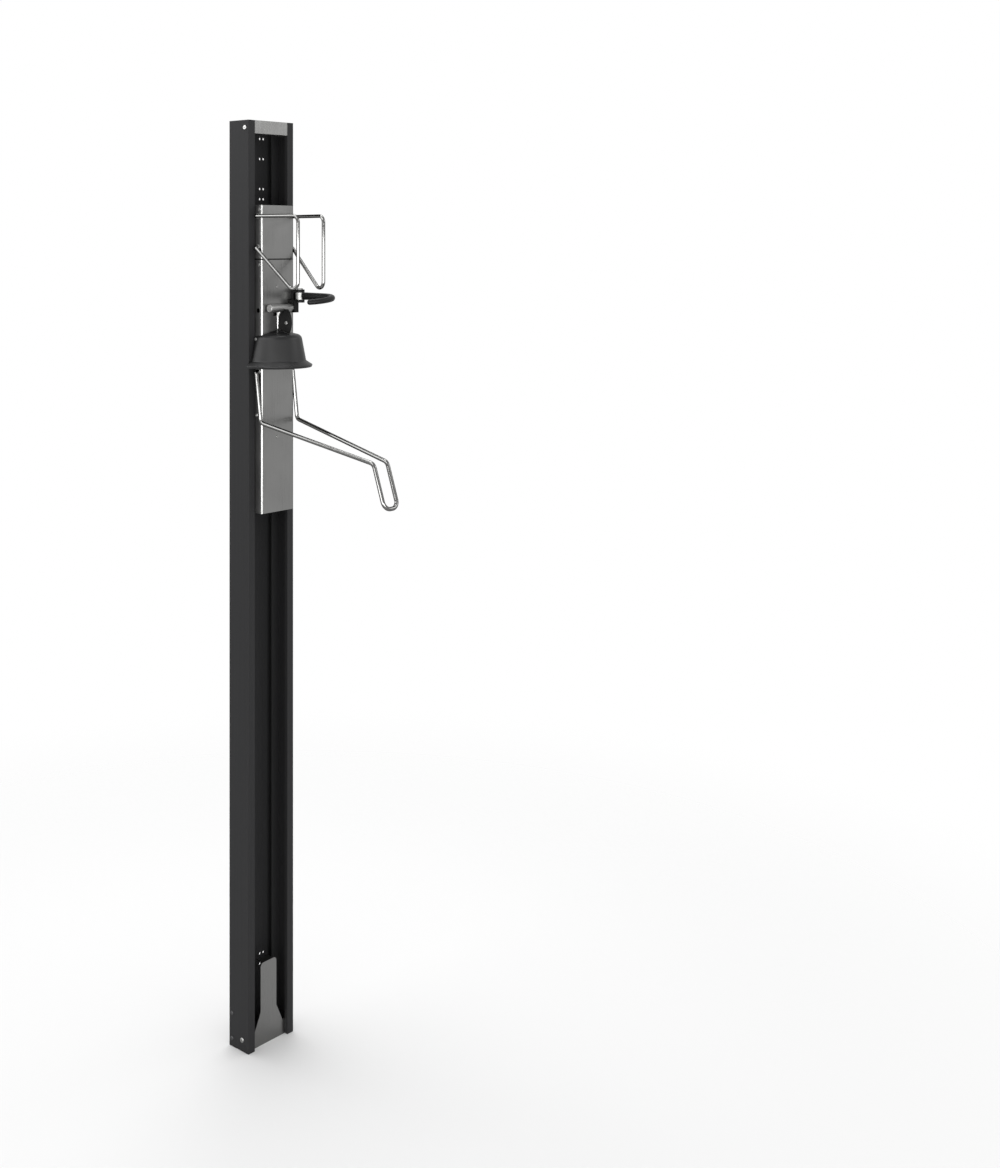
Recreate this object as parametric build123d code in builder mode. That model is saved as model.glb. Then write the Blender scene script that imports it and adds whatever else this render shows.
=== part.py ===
"""Wall-mounted lift rack that holds one bicycle upright by its front wheel.

Frame: origin on the wall plane at half the rail's height, +Z up, +X to the
right and -Y out of the wall. Sizes are in millimetres. The carriage stands at
the top of its travel, with the hook closed.
"""

import os

from build123d import *

os.makedirs("parts", exist_ok=True)

# ---------------------------------------------------------------------------
# Driving dimensions
# ---------------------------------------------------------------------------
rail_length = 1840.0
rail_width = 120.0
rail_depth = 58.0
rail_wall = 3.0
flange_face = 16.5
rail_corner = 1.5
lip_wall = 2.5
lip_depth = 8.0
rib_back = 14.0
rib_wall = 3.0
rib_reach = 18.6

fixing_hole_d = 5.5
fixing_pair_centre = 24.0
fixing_pair_step = 9.4
fixing_rows_from_top = (31.4, 72.1, 133.1, 153.8)
fixing_rows_from_foot = (133.1, 153.8)

glide_gap = 0.3
fit = 0.05
breakout = 1.0

sheet = 2.0
cap_height = 26.0
cap_screw_drop = 15.0
cap_screw_inset = 10.0
foot_skirt = 30.5
foot_skirt_width = 74.0
foot_shoulder = 66.0
foot_tongue_top = 163.0
foot_tongue_width = 42.0
foot_tongue_corner = 8.0
foot_flange_reach = 21.0
foot_tab_height = 33.0
foot_screw_rise = 23.0
foot_screw_inset = 18.0

seam_drop = 275.0
seam_gap = 2.5
cover_stand = 19.0
cover_side_gap = 1.5
cover_sheet = 1.5
cover_bend = 3.2
cover_lip_gap = 1.0
upper_cover_height = 105.65
lower_cover_height = 500.25
chassis_sheet = 2.5
chassis_bend = 4.0
chassis_top_gap = 3.9
chassis_rise = 11.5
chassis_rib_gap = 1.5

spring_rib_gap = 2.4
spring_wall_gap = 6.0
spring_tube_r = 11.0
spring_tube_wall = 2.0
spring_rod_r = 5.0
spring_stud_r = 4.0
spring_eye_rise = 45.0
spring_eye_r = 8.0
spring_neck_r = 5.0
spring_pin_r = 4.0

shoe_height = 60.0
shoe_drop = 83.0
shoe_rise = 15.0
shoe_screw_pitch = 36.0
shoe_screw_inset = 11.7
bridge_sheet = 5.0
bridge_tab = 3.0
bridge_drop = 2.0
bridge_tab_rise = 4.0
bridge_margin = 6.0

hoop_wire_r = 3.5
hoop_bend = 4.0
hoop_reach = 95.5
hoop_half_gap = 34.0
hoop_corner = 13.0
cradle_wire_r = 4.0
cradle_bend = 4.6
cradle_reach = 311.0
cradle_handle_width = 36.0
collar_height = 2.0

hood_height = 74.0
hood_wall = 3.0
hood_shoulder_side = 5.0
hood_waist_side = 14.4
hood_mouth_side = 27.2

hook_root_r = 7.6
hook_tip_r = 5.2
hook_core_r = 3.5
hook_wrap = 130.0
hook_tilt = 5.9
hook_drop = 74.0
hook_reach = 88.0
hook_pin_r = 4.0
crossbar_r = 8.0
bracket_r = 37.5
bracket_sheet = 3.0

# ---------------------------------------------------------------------------
# Levels and planes worked out from the driving dimensions
# ---------------------------------------------------------------------------
top_z = rail_length / 2
foot_z = -rail_length / 2
half_width = rail_width / 2
cavity_x = half_width - rail_wall
cavity_back = -rail_wall
cavity_front = -(rail_depth - rail_wall)
rail_slot = rail_width - 2 * flange_face
slot_x = rail_slot / 2
lip_x = slot_x + lip_wall
lip_end = -(rail_depth - lip_depth)
rib_front = -(rib_back + rib_wall)

seam_z = top_z - seam_drop
upper_bottom = seam_z + seam_gap / 2
upper_top = upper_bottom + upper_cover_height
lower_top = seam_z - seam_gap / 2
lower_bottom = lower_top - lower_cover_height

cover_x = slot_x - cover_side_gap
cover_front = -(rail_depth + cover_stand)
cover_back = lip_end - cover_lip_gap
chassis_x = cover_x - cover_sheet
chassis_in = chassis_x - chassis_sheet
chassis_front = cover_front + cover_sheet
web_back = chassis_front + chassis_sheet
chassis_back = rib_front - chassis_rib_gap
chassis_top = upper_top - chassis_top_gap
chassis_bottom = lower_bottom + chassis_rise

shoe_back = rib_front - glide_gap
shoe_front = cavity_front + glide_gap
shoe_lip_front = lip_end + glide_gap
shoe_x = cavity_x - glide_gap
shoe_y = shoe_lip_front + shoe_screw_inset
upper_shoe_z = chassis_top - shoe_drop
lower_shoe_z = chassis_bottom + shoe_rise

bridge_bottom = upper_shoe_z + shoe_height - bridge_drop
bridge_top = bridge_bottom + bridge_sheet

spring_x = -(cavity_x - rib_reach - spring_rib_gap - spring_tube_r)
spring_y = -(rail_wall + spring_wall_gap + spring_tube_r)
spring_bore_r = spring_tube_r - spring_tube_wall
spring_eye_z = foot_z + spring_eye_rise
plug_rise = 21.0
tube_bottom = spring_eye_z + plug_rise
plug_depth = 20.0
plug_head = 4.0
guide_head = 2.0
guide_depth = 18.0
piston_depth = 12.0
stop_space = 9.0
travel = (bridge_bottom - tube_bottom - plug_depth - guide_depth - piston_depth - 3 * stop_space) / 2
tube_top = bridge_bottom - travel - stop_space
piston_top = tube_top - guide_depth - stop_space
piston_bottom = piston_top - piston_depth


# ---------------------------------------------------------------------------
# Shared shapes
# ---------------------------------------------------------------------------
def block(x_range, y_range, z_range, mode=Mode.ADD):
    """Add or cut a block given by its limits along the three axes."""
    limits = (x_range, y_range, z_range)
    with Locations(tuple((low + high) / 2 for low, high in limits)):
        Box(*(abs(high - low) for low, high in limits), mode=mode)


def bar_x(x_range, y, z, radius, mode=Mode.ADD):
    """Add or cut a round bar along X."""
    low, high = x_range
    with Locations(Location(((low + high) / 2, y, z), (0, 90, 0))):
        Cylinder(radius, abs(high - low), mode=mode)


def bar_y(x, y_range, z, radius, mode=Mode.ADD):
    """Add or cut a round bar along Y."""
    low, high = y_range
    with Locations(Location((x, (low + high) / 2, z), (90, 0, 0))):
        Cylinder(radius, abs(high - low), mode=mode)


def bar_z(x, y, z_range, radius, mode=Mode.ADD):
    """Add or cut a round bar along Z."""
    low, high = z_range
    with Locations((x, y, (low + high) / 2)):
        Cylinder(radius, abs(high - low), mode=mode)


def u_corners(half_span, front, back):
    """Corners of a U that opens toward the wall."""
    return (-half_span, back), (-half_span, front), (half_span, front), (half_span, back)


def folded_channel(half_span, front, back, wall, bend, z):
    """Section at height z of a sheet folded into a U that opens toward the wall."""
    with BuildSketch(Plane.XY.offset(z)) as section:
        with BuildLine():
            outside = FilletPolyline(*u_corners(half_span, front, back), radius=bend)
            inside = FilletPolyline(*u_corners(half_span - wall, front + wall, back), radius=bend - wall)
            Line(outside @ 0, inside @ 0)
            Line(outside @ 1, inside @ 1)
        make_face()
    return section.sketch


def lid_section(front, side_front, back, z):
    """Section of the rail's top lid: a tongue between the lips and wings behind them."""
    with BuildSketch(Plane.XY.offset(z)) as section:
        with BuildLine():
            Polyline(
                (0, front),
                (slot_x - glide_gap, front),
                (slot_x - glide_gap, shoe_lip_front),
                (lip_x + glide_gap, shoe_lip_front),
                (lip_x + glide_gap, side_front),
                (cavity_x, side_front),
                (cavity_x, back),
                (0, back),
                close=True,
            )
        make_face()
        mirror(about=Plane.YZ)
    return section.sketch


head_round = 0.6
socket_depth = 0.6


def headed_pin(shank_r, shank_length, head_r, head_height, socket_r=0.0):
    """Pin along Z with its head above the origin plane and its shank below it."""
    with BuildPart() as pin:
        with Locations((0, 0, head_height / 2)):
            Cylinder(head_r, head_height)
        fillet(pin.edges().sort_by(Axis.Z)[-1], head_height * head_round)
        with Locations((0, 0, -shank_length / 2)):
            Cylinder(shank_r, shank_length)
        if socket_r > 0:
            with BuildSketch(Plane.XY.offset(head_height)):
                RegularPolygon(socket_r, 6)
            extrude(amount=-head_height * socket_depth, mode=Mode.SUBTRACT)
    return pin.part


def hex_nut(bore_r, corner_r, thickness):
    """Hexagon nut on the origin plane, standing up along Z."""
    with BuildPart() as nut:
        with BuildSketch():
            RegularPolygon(corner_r, 6)
            Circle(bore_r, mode=Mode.SUBTRACT)
        extrude(amount=thickness)
    return nut.part


def facing_x(side, x, y, z):
    """Place a pin or nut so that its +Z points outward along X on one side."""
    return Location((side * x, y, z), (0, side * 90, 0))


# ---------------------------------------------------------------------------
# Rail: one extrusion with lips, inner ribs and drilled holes
# ---------------------------------------------------------------------------
fixing_x = [
    side * (fixing_pair_centre + half_step)
    for side in (-1, 1)
    for half_step in (-fixing_pair_step / 2, fixing_pair_step / 2)
]
fixing_z = [top_z - row for row in fixing_rows_from_top] + [foot_z + row for row in fixing_rows_from_foot]

side_screw_r = 2.5
side_screw_length = 9.0
side_screw_head_r = 4.75
side_screw_head = 2.4
side_screw_socket = 1.8
anchor_rise = 6.0
anchor_height = 70.0
anchor_screw_inset = 10.0
cap_screw_y = -(rail_depth - cap_screw_inset)
cap_screw_z = top_z - cap_screw_drop
foot_screw_y = -(rail_depth - foot_screw_inset)
foot_screw_z = foot_z + foot_screw_rise
anchor_screw_y = -(rail_wall + rib_back) / 2
anchor_bottom = foot_z + anchor_rise
anchor_top = anchor_bottom + anchor_height
anchor_screw_zs = (anchor_bottom + anchor_screw_inset, anchor_top - anchor_screw_inset)
side_screws = [(cap_screw_y, cap_screw_z), (foot_screw_y, foot_screw_z)]

with BuildPart() as wall_rail:
    with BuildSketch(Plane.XY.offset(foot_z)):
        with Locations((0, -rail_depth / 2)):
            RectangleRounded(rail_width, rail_depth, rail_corner)
        with Locations((0, (cavity_back + cavity_front) / 2)):
            Rectangle(2 * cavity_x, cavity_back - cavity_front, mode=Mode.SUBTRACT)
        with Locations((0, -rail_depth + rail_wall / 2)):
            Rectangle(rail_slot, rail_wall, mode=Mode.SUBTRACT)
        for side in (-1, 1):
            with Locations((side * (slot_x + lip_wall / 2), (lip_end - rail_depth) / 2)):
                Rectangle(lip_wall, rail_depth + lip_end)
            with Locations((side * (cavity_x - rib_reach / 2), (rib_front - rib_back) / 2)):
                Rectangle(rib_reach, rib_wall)
    extrude(amount=rail_length)
    for z in fixing_z:
        for x in fixing_x:
            bar_y(x, (-rail_wall - breakout, breakout), z, fixing_hole_d / 2, Mode.SUBTRACT)
    for y, z in side_screws:
        for side in (-1, 1):
            drilled = (side * (cavity_x - breakout), side * (half_width + breakout))
            bar_x(drilled, y, z, side_screw_r + fit, Mode.SUBTRACT)
    for z in anchor_screw_zs:
        drilled = (-half_width - breakout, -cavity_x + breakout)
        bar_x(drilled, anchor_screw_y, z, side_screw_r + fit, Mode.SUBTRACT)
wall_rail.part.label = "wall_rail"
export_step(wall_rail.part, "parts/wall_rail.step")

# ---------------------------------------------------------------------------
# Top cap: front plate between the lips, lid and two side tabs
# ---------------------------------------------------------------------------
tab_inner_x = cavity_x - sheet
front_x = slot_x - glide_gap


def side_tabs(z_range, screw_y, screw_z):
    """Add the two drilled tabs that stand against the rail's sides."""
    for side in (-1, 1):
        block((side * tab_inner_x, side * cavity_x), (shoe_front, shoe_back), z_range)
        drilled = (side * (tab_inner_x - breakout), side * (cavity_x + breakout))
        bar_x(drilled, screw_y, screw_z, side_screw_r + fit, Mode.SUBTRACT)


with BuildPart() as top_cap:
    extrude(to_extrude=lid_section(-rail_depth, shoe_front, shoe_back, top_z - sheet), amount=sheet)
    block((-front_x, front_x), (-rail_depth, -rail_depth + sheet), (top_z - cap_height, top_z))
    side_tabs((top_z - cap_height, top_z), cap_screw_y, cap_screw_z)
top_cap.part.label = "top_cap"
export_step(top_cap.part, "parts/top_cap.step")

side_screw = headed_pin(
    side_screw_r, side_screw_length, side_screw_head_r, side_screw_head, side_screw_socket
)

with BuildPart() as cap_screws:
    with Locations(*(facing_x(side, half_width, cap_screw_y, cap_screw_z) for side in (-1, 1))):
        add(side_screw)
cap_screws.part.label = "cap_screws"
export_step(cap_screws.part, "parts/cap_screws.step")

# ---------------------------------------------------------------------------
# Foot plate behind the lips: skirt that narrows to a tongue, floor and side tabs
# ---------------------------------------------------------------------------
foot_front = lip_end
foot_back = foot_front + sheet
tongue_x = foot_tongue_width / 2
slope_x = foot_skirt_width / 2
flange_back = foot_front + foot_flange_reach

with BuildPart() as foot_plate:
    with BuildSketch(Plane.XZ.offset(-foot_back)):
        with BuildLine():
            Polyline(
                (-cavity_x, foot_z),
                (cavity_x, foot_z),
                (cavity_x, foot_z + foot_skirt),
                (slope_x, foot_z + foot_skirt),
                (tongue_x, foot_z + foot_shoulder),
                (tongue_x, foot_z + foot_tongue_top),
                (-tongue_x, foot_z + foot_tongue_top),
                (-tongue_x, foot_z + foot_shoulder),
                (-slope_x, foot_z + foot_skirt),
                (-cavity_x, foot_z + foot_skirt),
                close=True,
            )
        make_face()
    extrude(amount=sheet)
    top_corners = foot_plate.edges().filter_by(Axis.Y).group_by(Axis.Z)[-1]
    fillet(top_corners, foot_tongue_corner)
    block(
        (-tongue_x + foot_tongue_corner, tongue_x - foot_tongue_corner),
        (foot_back, flange_back),
        (foot_z + foot_tongue_top - sheet, foot_z + foot_tongue_top),
    )
    block((-cavity_x, cavity_x), (foot_back, shoe_back), (foot_z, foot_z + sheet))
    side_tabs((foot_z, foot_z + foot_tab_height), foot_screw_y, foot_screw_z)
foot_plate.part.label = "foot_plate"
export_step(foot_plate.part, "parts/foot_plate.step")

with BuildPart() as foot_screws:
    with Locations(*(facing_x(side, half_width, foot_screw_y, foot_screw_z) for side in (-1, 1))):
        add(side_screw)
foot_screws.part.label = "foot_screws"
export_step(foot_screws.part, "parts/foot_screws.step")

# ---------------------------------------------------------------------------
# Spring anchor: bracket on the rail's back wall with two ears and a pin
# ---------------------------------------------------------------------------
anchor_sheet = 2.5
anchor_front = cavity_back - anchor_sheet
anchor_z = (anchor_bottom, anchor_top)
anchor_margin = 4.0
anchor_rib_gap = 0.5
eye_half = 6.2
ear_sheet = 3.0
ear_r = 11.0
ear_inner = eye_half + glide_gap
ear_outer = ear_inner + ear_sheet
anchor_right_x = spring_x + ear_outer + anchor_margin

with BuildPart() as spring_anchor:
    block((-cavity_x, anchor_right_x), (anchor_front, cavity_back), anchor_z)
    block((-cavity_x, -cavity_x + anchor_sheet), (-rib_back + anchor_rib_gap, cavity_back), anchor_z)
    for side in (-1, 1):
        ear_x = (spring_x + side * ear_inner, spring_x + side * ear_outer)
        block(ear_x, (spring_y, cavity_back), (spring_eye_z - ear_r, spring_eye_z + ear_r))
        bar_x(ear_x, spring_y, spring_eye_z, ear_r)
    bar_x(
        (spring_x - ear_outer - breakout, spring_x + ear_outer + breakout),
        spring_y,
        spring_eye_z,
        spring_pin_r + fit,
        Mode.SUBTRACT,
    )
    for z in anchor_screw_zs:
        drilled = (-cavity_x - breakout, -cavity_x + anchor_sheet + breakout)
        bar_x(drilled, anchor_screw_y, z, side_screw_r + fit, Mode.SUBTRACT)
spring_anchor.part.label = "spring_anchor"
export_step(spring_anchor.part, "parts/spring_anchor.step")

anchor_screw_length = 8.0
anchor_screw_head_r = 4.0
anchor_screw_head = 1.4
anchor_screw_socket = 1.5
anchor_screw = headed_pin(
    side_screw_r, anchor_screw_length, anchor_screw_head_r, anchor_screw_head, anchor_screw_socket
)

with BuildPart() as anchor_screws:
    with Locations(*(facing_x(-1, half_width, anchor_screw_y, z) for z in anchor_screw_zs)):
        add(anchor_screw)
anchor_screws.part.label = "anchor_screws"
export_step(anchor_screws.part, "parts/anchor_screws.step")

pin_head = 2.0
pin_rim = 2.0

with BuildPart() as anchor_pin:
    pin_x = (spring_x - ear_outer - pin_head, spring_x + ear_outer + pin_head)
    bar_x(pin_x, spring_y, spring_eye_z, spring_pin_r)
    for side in (-1, 1):
        head_x = (spring_x + side * ear_outer, spring_x + side * (ear_outer + pin_head))
        bar_x(head_x, spring_y, spring_eye_z, spring_pin_r + pin_rim)
anchor_pin.part.label = "anchor_pin"
export_step(anchor_pin.part, "parts/anchor_pin.step")

# ---------------------------------------------------------------------------
# Gas spring: tube, eye plug and guide on the rail; rod and piston on the carriage
# ---------------------------------------------------------------------------
with BuildPart() as cylinder_end:
    bar_x((spring_x - eye_half, spring_x + eye_half), spring_y, spring_eye_z, spring_eye_r)
    bar_z(spring_x, spring_y, (spring_eye_z, tube_bottom), spring_neck_r)
    bar_z(spring_x, spring_y, (tube_bottom - plug_head, tube_bottom), spring_tube_r)
    bar_z(spring_x, spring_y, (tube_bottom, tube_bottom + plug_depth), spring_bore_r - fit)
    bar_x(
        (spring_x - spring_tube_r, spring_x + spring_tube_r),
        spring_y,
        spring_eye_z,
        spring_pin_r + fit,
        Mode.SUBTRACT,
    )
cylinder_end.part.label = "cylinder_end"
export_step(cylinder_end.part, "parts/cylinder_end.step")

with BuildPart() as spring_cylinder:
    with BuildSketch(Plane.XY.offset(tube_bottom)):
        with Locations((spring_x, spring_y)):
            Circle(spring_tube_r)
            Circle(spring_bore_r, mode=Mode.SUBTRACT)
    extrude(amount=tube_top - tube_bottom)
spring_cylinder.part.label = "spring_cylinder"
export_step(spring_cylinder.part, "parts/spring_cylinder.step")

with BuildPart() as rod_guide:
    bar_z(spring_x, spring_y, (tube_top - guide_depth, tube_top), spring_bore_r - fit)
    bar_z(spring_x, spring_y, (tube_top, tube_top + guide_head), spring_tube_r)
    bore_z = (tube_top - guide_depth, tube_top + guide_head)
    bar_z(spring_x, spring_y, bore_z, spring_rod_r + fit, Mode.SUBTRACT)
rod_guide.part.label = "rod_guide"
export_step(rod_guide.part, "parts/rod_guide.step")

stud_reach = 10.0
stud_chamfer = 1.0
stud_top = bridge_top + stud_reach

with BuildPart() as piston_rod:
    bar_z(spring_x, spring_y, (piston_bottom, bridge_bottom), spring_rod_r)
    bar_z(spring_x, spring_y, (bridge_bottom, stud_top), spring_stud_r)
    chamfer(piston_rod.edges().group_by(Axis.Z)[-1], stud_chamfer)
piston_rod.part.label = "piston_rod"
export_step(piston_rod.part, "parts/piston_rod.step")

with BuildPart() as piston:
    bar_z(spring_x, spring_y, (piston_bottom, piston_top), spring_bore_r - 2 * fit)
    bar_z(spring_x, spring_y, (piston_bottom, piston_top), spring_rod_r + fit, Mode.SUBTRACT)
piston.part.label = "piston"
export_step(piston.part, "parts/piston.step")

# ---------------------------------------------------------------------------
# Carriage chassis: folded channel, spring bridge and glide shoes
# ---------------------------------------------------------------------------
rivet_r = 2.0
rivet_head_r = 3.5
rivet_head = 1.2
side_rivet_inset = 7.0
high_rivet_drop = 8.9
low_rivet_drop = 11.0
front_rivet_drop = 55.0
foot_rivet_drop = 353.0
rivet_y = cover_front + side_rivet_inset
side_rivet_zs = (upper_top - high_rivet_drop, seam_z - low_rivet_drop)
front_rivet_zs = (seam_z - front_rivet_drop, seam_z - foot_rivet_drop)

cover_screw_r = 2.0
cover_screw_inset = 15.0
cover_screw_drop = 308.0
cover_screw_y = cover_front + cover_screw_inset
cover_screw_z = seam_z - cover_screw_drop

sight_hole_r = 4.75
sight_hole_inset = 11.0
sight_hole_drop = 101.0
sight_hole_y = cover_front + sight_hole_inset
sight_hole_z = seam_z - sight_hole_drop

slot_cut_width = 12.0
slot_cut_height = 10.5
slot_cut_drop = 102.0
slot_cut_x = (-slot_cut_width, 0)
slot_cut_z = (seam_z - slot_cut_drop - slot_cut_height, seam_z - slot_cut_drop)

neck_height = 22.0
neck_drop = 115.0
bracket_slot_x = (-glide_gap, bracket_sheet + glide_gap)
bracket_neck_z = (seam_z - neck_drop - neck_height, seam_z - neck_drop)

hoop_end_inset = 11.3
hoop_top_rise = 85.0
hoop_low_rise = 24.0
hoop_dip = 72.5
hoop_end_y = cover_front + hoop_end_inset
hoop_top_z = seam_z + hoop_top_rise
hoop_low_z = seam_z + hoop_low_rise
hoop_dip_z = seam_z - hoop_dip
hoop_turn_gap = 0.7
hoop_x = cover_x + collar_height + hoop_bend + hoop_turn_gap

cradle_end_inset = 9.0
cradle_end_drop = 221.0
wire_stub = 2.0
cradle_x = cover_x + collar_height + cradle_bend
cradle_end_y = cover_front + cradle_end_inset
cradle_end_z = seam_z - cradle_end_drop
wire_end_x = chassis_in - wire_stub

hood_stand = 2.0
hood_drop = 140.0
hood_screw_r = 1.9
hood_screw_head_r = 3.4
hood_screw_side = 3.9
hood_screw_drop = 18.0
hood_seat_side = 4.0
hood_axis_y = cover_front
hood_back_y = -(rail_depth + hood_stand)
hood_top_z = seam_z - hood_drop
hood_bottom_z = hood_top_z - hood_height
hood_screw_y = hood_back_y - hood_screw_side
hood_screw_z = hood_top_z - hood_screw_drop
hood_seat_x = cover_x + hood_seat_side

nut_height = 4.0
nut_room = 5.0
nut_corner_r = 4.6
shoe_screw_r = 2.5


def shoe_screw_places(side):
    """Heights of the screws in both shoes of one side, with the inner seat of each."""
    places = []
    for base, seat in ((upper_shoe_z, chassis_in - bridge_tab), (lower_shoe_z, chassis_in)):
        for offset in (-shoe_screw_pitch / 2, shoe_screw_pitch / 2):
            places.append((base + shoe_height / 2 + offset, seat))
    return places


def cut_side_holes(x_range, wanted):
    """Drill the holes that pass through both sides of the carriage sheets."""
    for y, z, radius in wanted:
        for side in (-1, 1):
            bar_x([side * x for x in x_range], y, z, radius, Mode.SUBTRACT)


upper_side_holes = [
    (rivet_y, side_rivet_zs[0], rivet_r + fit),
    (hoop_end_y, hoop_top_z, hoop_wire_r + fit),
    (hoop_end_y, hoop_low_z, hoop_wire_r + fit),
]
lower_side_holes = [
    (rivet_y, side_rivet_zs[1], rivet_r + fit),
    (cover_screw_y, cover_screw_z, cover_screw_r + fit),
    (sight_hole_y, sight_hole_z, sight_hole_r),
    (cradle_end_y, cradle_end_z, cradle_wire_r + fit),
    (hood_screw_y, hood_screw_z, hood_screw_r + fit),
]
sheet_x = (chassis_in - breakout, cover_x + breakout)


def cut_front_holes(y_range):
    """Cut the rivet holes, the dark slot and the bracket slot in a front sheet."""
    for z in front_rivet_zs:
        bar_y(0, y_range, z, rivet_r + fit, Mode.SUBTRACT)
    block(slot_cut_x, y_range, slot_cut_z, Mode.SUBTRACT)
    block(bracket_slot_x, y_range, bracket_neck_z, Mode.SUBTRACT)


with BuildPart() as carriage_frame:
    extrude(
        to_extrude=folded_channel(
            chassis_x, chassis_front, chassis_back, chassis_sheet, chassis_bend, chassis_bottom
        ),
        amount=chassis_top - chassis_bottom,
    )
    cut_side_holes(sheet_x, upper_side_holes + lower_side_holes)
    cut_front_holes((chassis_front - breakout, web_back + breakout))
    for side in (-1, 1):
        for z, _ in shoe_screw_places(side):
            bar_x([side * x for x in sheet_x], shoe_y, z, shoe_screw_r + fit, Mode.SUBTRACT)
carriage_frame.part.label = "carriage_frame"
export_step(carriage_frame.part, "parts/carriage_frame.step")

bridge_tab_gap = 1.0
bridge_tab_y = (lip_end, spring_y - spring_tube_r - bridge_tab_gap)
bridge_back = spring_y + spring_stud_r + bridge_margin

with BuildPart() as spring_bridge:
    block((-chassis_in, chassis_in), (lip_end, bridge_back), (bridge_bottom, bridge_top))
    for side in (-1, 1):
        tab_x = (side * (chassis_in - bridge_tab), side * chassis_in)
        block(tab_x, bridge_tab_y, (upper_shoe_z + bridge_tab_rise, bridge_top))
        for z, seat in shoe_screw_places(side)[:2]:
            drilled = (side * (seat - breakout), side * (chassis_in + breakout))
            bar_x(drilled, shoe_y, z, shoe_screw_r + fit, Mode.SUBTRACT)
    stud_bore = (bridge_bottom - breakout, bridge_top + breakout)
    bar_z(spring_x, spring_y, stud_bore, spring_stud_r + fit, Mode.SUBTRACT)
spring_bridge.part.label = "spring_bridge"
export_step(spring_bridge.part, "parts/spring_bridge.step")

rod_nut_corner_r = 7.5
rod_nut_height = 6.5

with BuildPart() as rod_nut:
    with Locations((spring_x, spring_y, bridge_top)):
        add(hex_nut(spring_stud_r + fit, rod_nut_corner_r, rod_nut_height))
rod_nut.part.label = "rod_nut"
export_step(rod_nut.part, "parts/rod_nut.step")

shoe_bore_r = 5.0
shoe_bore_depth = 6.7
shoe_lead = 1.5
shoe_head = 3.3
shoe_head_r = 4.7
shoe_socket = 1.8
shoe_bore_x = shoe_x - shoe_bore_depth

for side_name, side in (("left", -1), ("right", 1)):
    for level, base_z in (("upper", upper_shoe_z), ("lower", lower_shoe_z)):
        with BuildPart() as glide_shoe:
            with BuildSketch(Plane.XY.offset(base_z)):
                with BuildLine():
                    Polyline(
                        (side * chassis_x, shoe_back),
                        (side * shoe_x, shoe_back),
                        (side * shoe_x, shoe_front),
                        (side * (lip_x + glide_gap), shoe_front),
                        (side * (lip_x + glide_gap), shoe_lip_front),
                        (side * chassis_x, shoe_lip_front),
                        close=True,
                    )
                make_face()
            extrude(amount=shoe_height)
            lead_in = glide_shoe.edges().filter_by(Axis.Y).group_by(Axis.X)[-1 if side > 0 else 0]
            chamfer(lead_in, shoe_lead)
            for offset in (-shoe_screw_pitch / 2, shoe_screw_pitch / 2):
                screw_z = base_z + shoe_height / 2 + offset
                bar_x((side * chassis_in, side * shoe_x), shoe_y, screw_z, shoe_screw_r + fit, Mode.SUBTRACT)
                bore_x = (side * shoe_bore_x, side * (shoe_x + breakout))
                bar_x(bore_x, shoe_y, screw_z, shoe_bore_r, Mode.SUBTRACT)
        glide_shoe.part.label = f"glide_shoe_{level}_{side_name}"
        export_step(glide_shoe.part, f"parts/glide_shoe_{level}_{side_name}.step")

with BuildPart() as shoe_screws:
    for side in (-1, 1):
        for z, seat in shoe_screw_places(side):
            with Locations(facing_x(side, shoe_bore_x, shoe_y, z)):
                reach = shoe_bore_x - seat + nut_room
                add(headed_pin(shoe_screw_r, reach, shoe_head_r, shoe_head, shoe_socket))
shoe_screws.part.label = "shoe_screws"
export_step(shoe_screws.part, "parts/shoe_screws.step")

with BuildPart() as shoe_nuts:
    for side in (-1, 1):
        for z, seat in shoe_screw_places(side):
            with Locations(facing_x(side, seat - nut_height, shoe_y, z)):
                add(hex_nut(shoe_screw_r + fit, nut_corner_r, nut_height))
shoe_nuts.part.label = "shoe_nuts"
export_step(shoe_nuts.part, "parts/shoe_nuts.step")

# ---------------------------------------------------------------------------
# Covers: two folded sheets over the chassis, with a closed top on the upper one
# ---------------------------------------------------------------------------
with BuildPart() as upper_cover:
    extrude(
        to_extrude=folded_channel(cover_x, cover_front, cover_back, cover_sheet, cover_bend, upper_bottom),
        amount=upper_cover_height,
    )
    block(
        (-chassis_x, chassis_x), (chassis_front, cover_back), (upper_top - cover_sheet, upper_top)
    )
    cut_side_holes(sheet_x, upper_side_holes)
upper_cover.part.label = "upper_cover"
export_step(upper_cover.part, "parts/upper_cover.step")

with BuildPart() as lower_cover:
    extrude(
        to_extrude=folded_channel(cover_x, cover_front, cover_back, cover_sheet, cover_bend, lower_bottom),
        amount=lower_cover_height,
    )
    cut_side_holes(sheet_x, lower_side_holes)
    cut_front_holes((cover_front - breakout, chassis_front + breakout))
lower_cover.part.label = "lower_cover"
export_step(lower_cover.part, "parts/lower_cover.step")

rivet_stub = 1.0
side_rivet = headed_pin(rivet_r, cover_x - chassis_in + rivet_stub, rivet_head_r, rivet_head)
front_rivet_length = web_back - cover_front + bracket_sheet + rivet_stub
front_rivet = headed_pin(rivet_r, front_rivet_length, rivet_head_r, rivet_head)

with BuildPart() as cover_rivets:
    for z in side_rivet_zs:
        with Locations(*(facing_x(side, cover_x, rivet_y, z) for side in (-1, 1))):
            add(side_rivet)
    with Locations(*(Location((0, cover_front, z), (90, 0, 0)) for z in front_rivet_zs)):
        add(front_rivet)
cover_rivets.part.label = "cover_rivets"
export_step(cover_rivets.part, "parts/cover_rivets.step")

cover_screw_stub = 2.0
cover_screw_length = cover_x - chassis_in + cover_screw_stub
cover_screw_head_r = 3.6
cover_screw_head = 1.8
cover_screw_socket = 1.4

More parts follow.
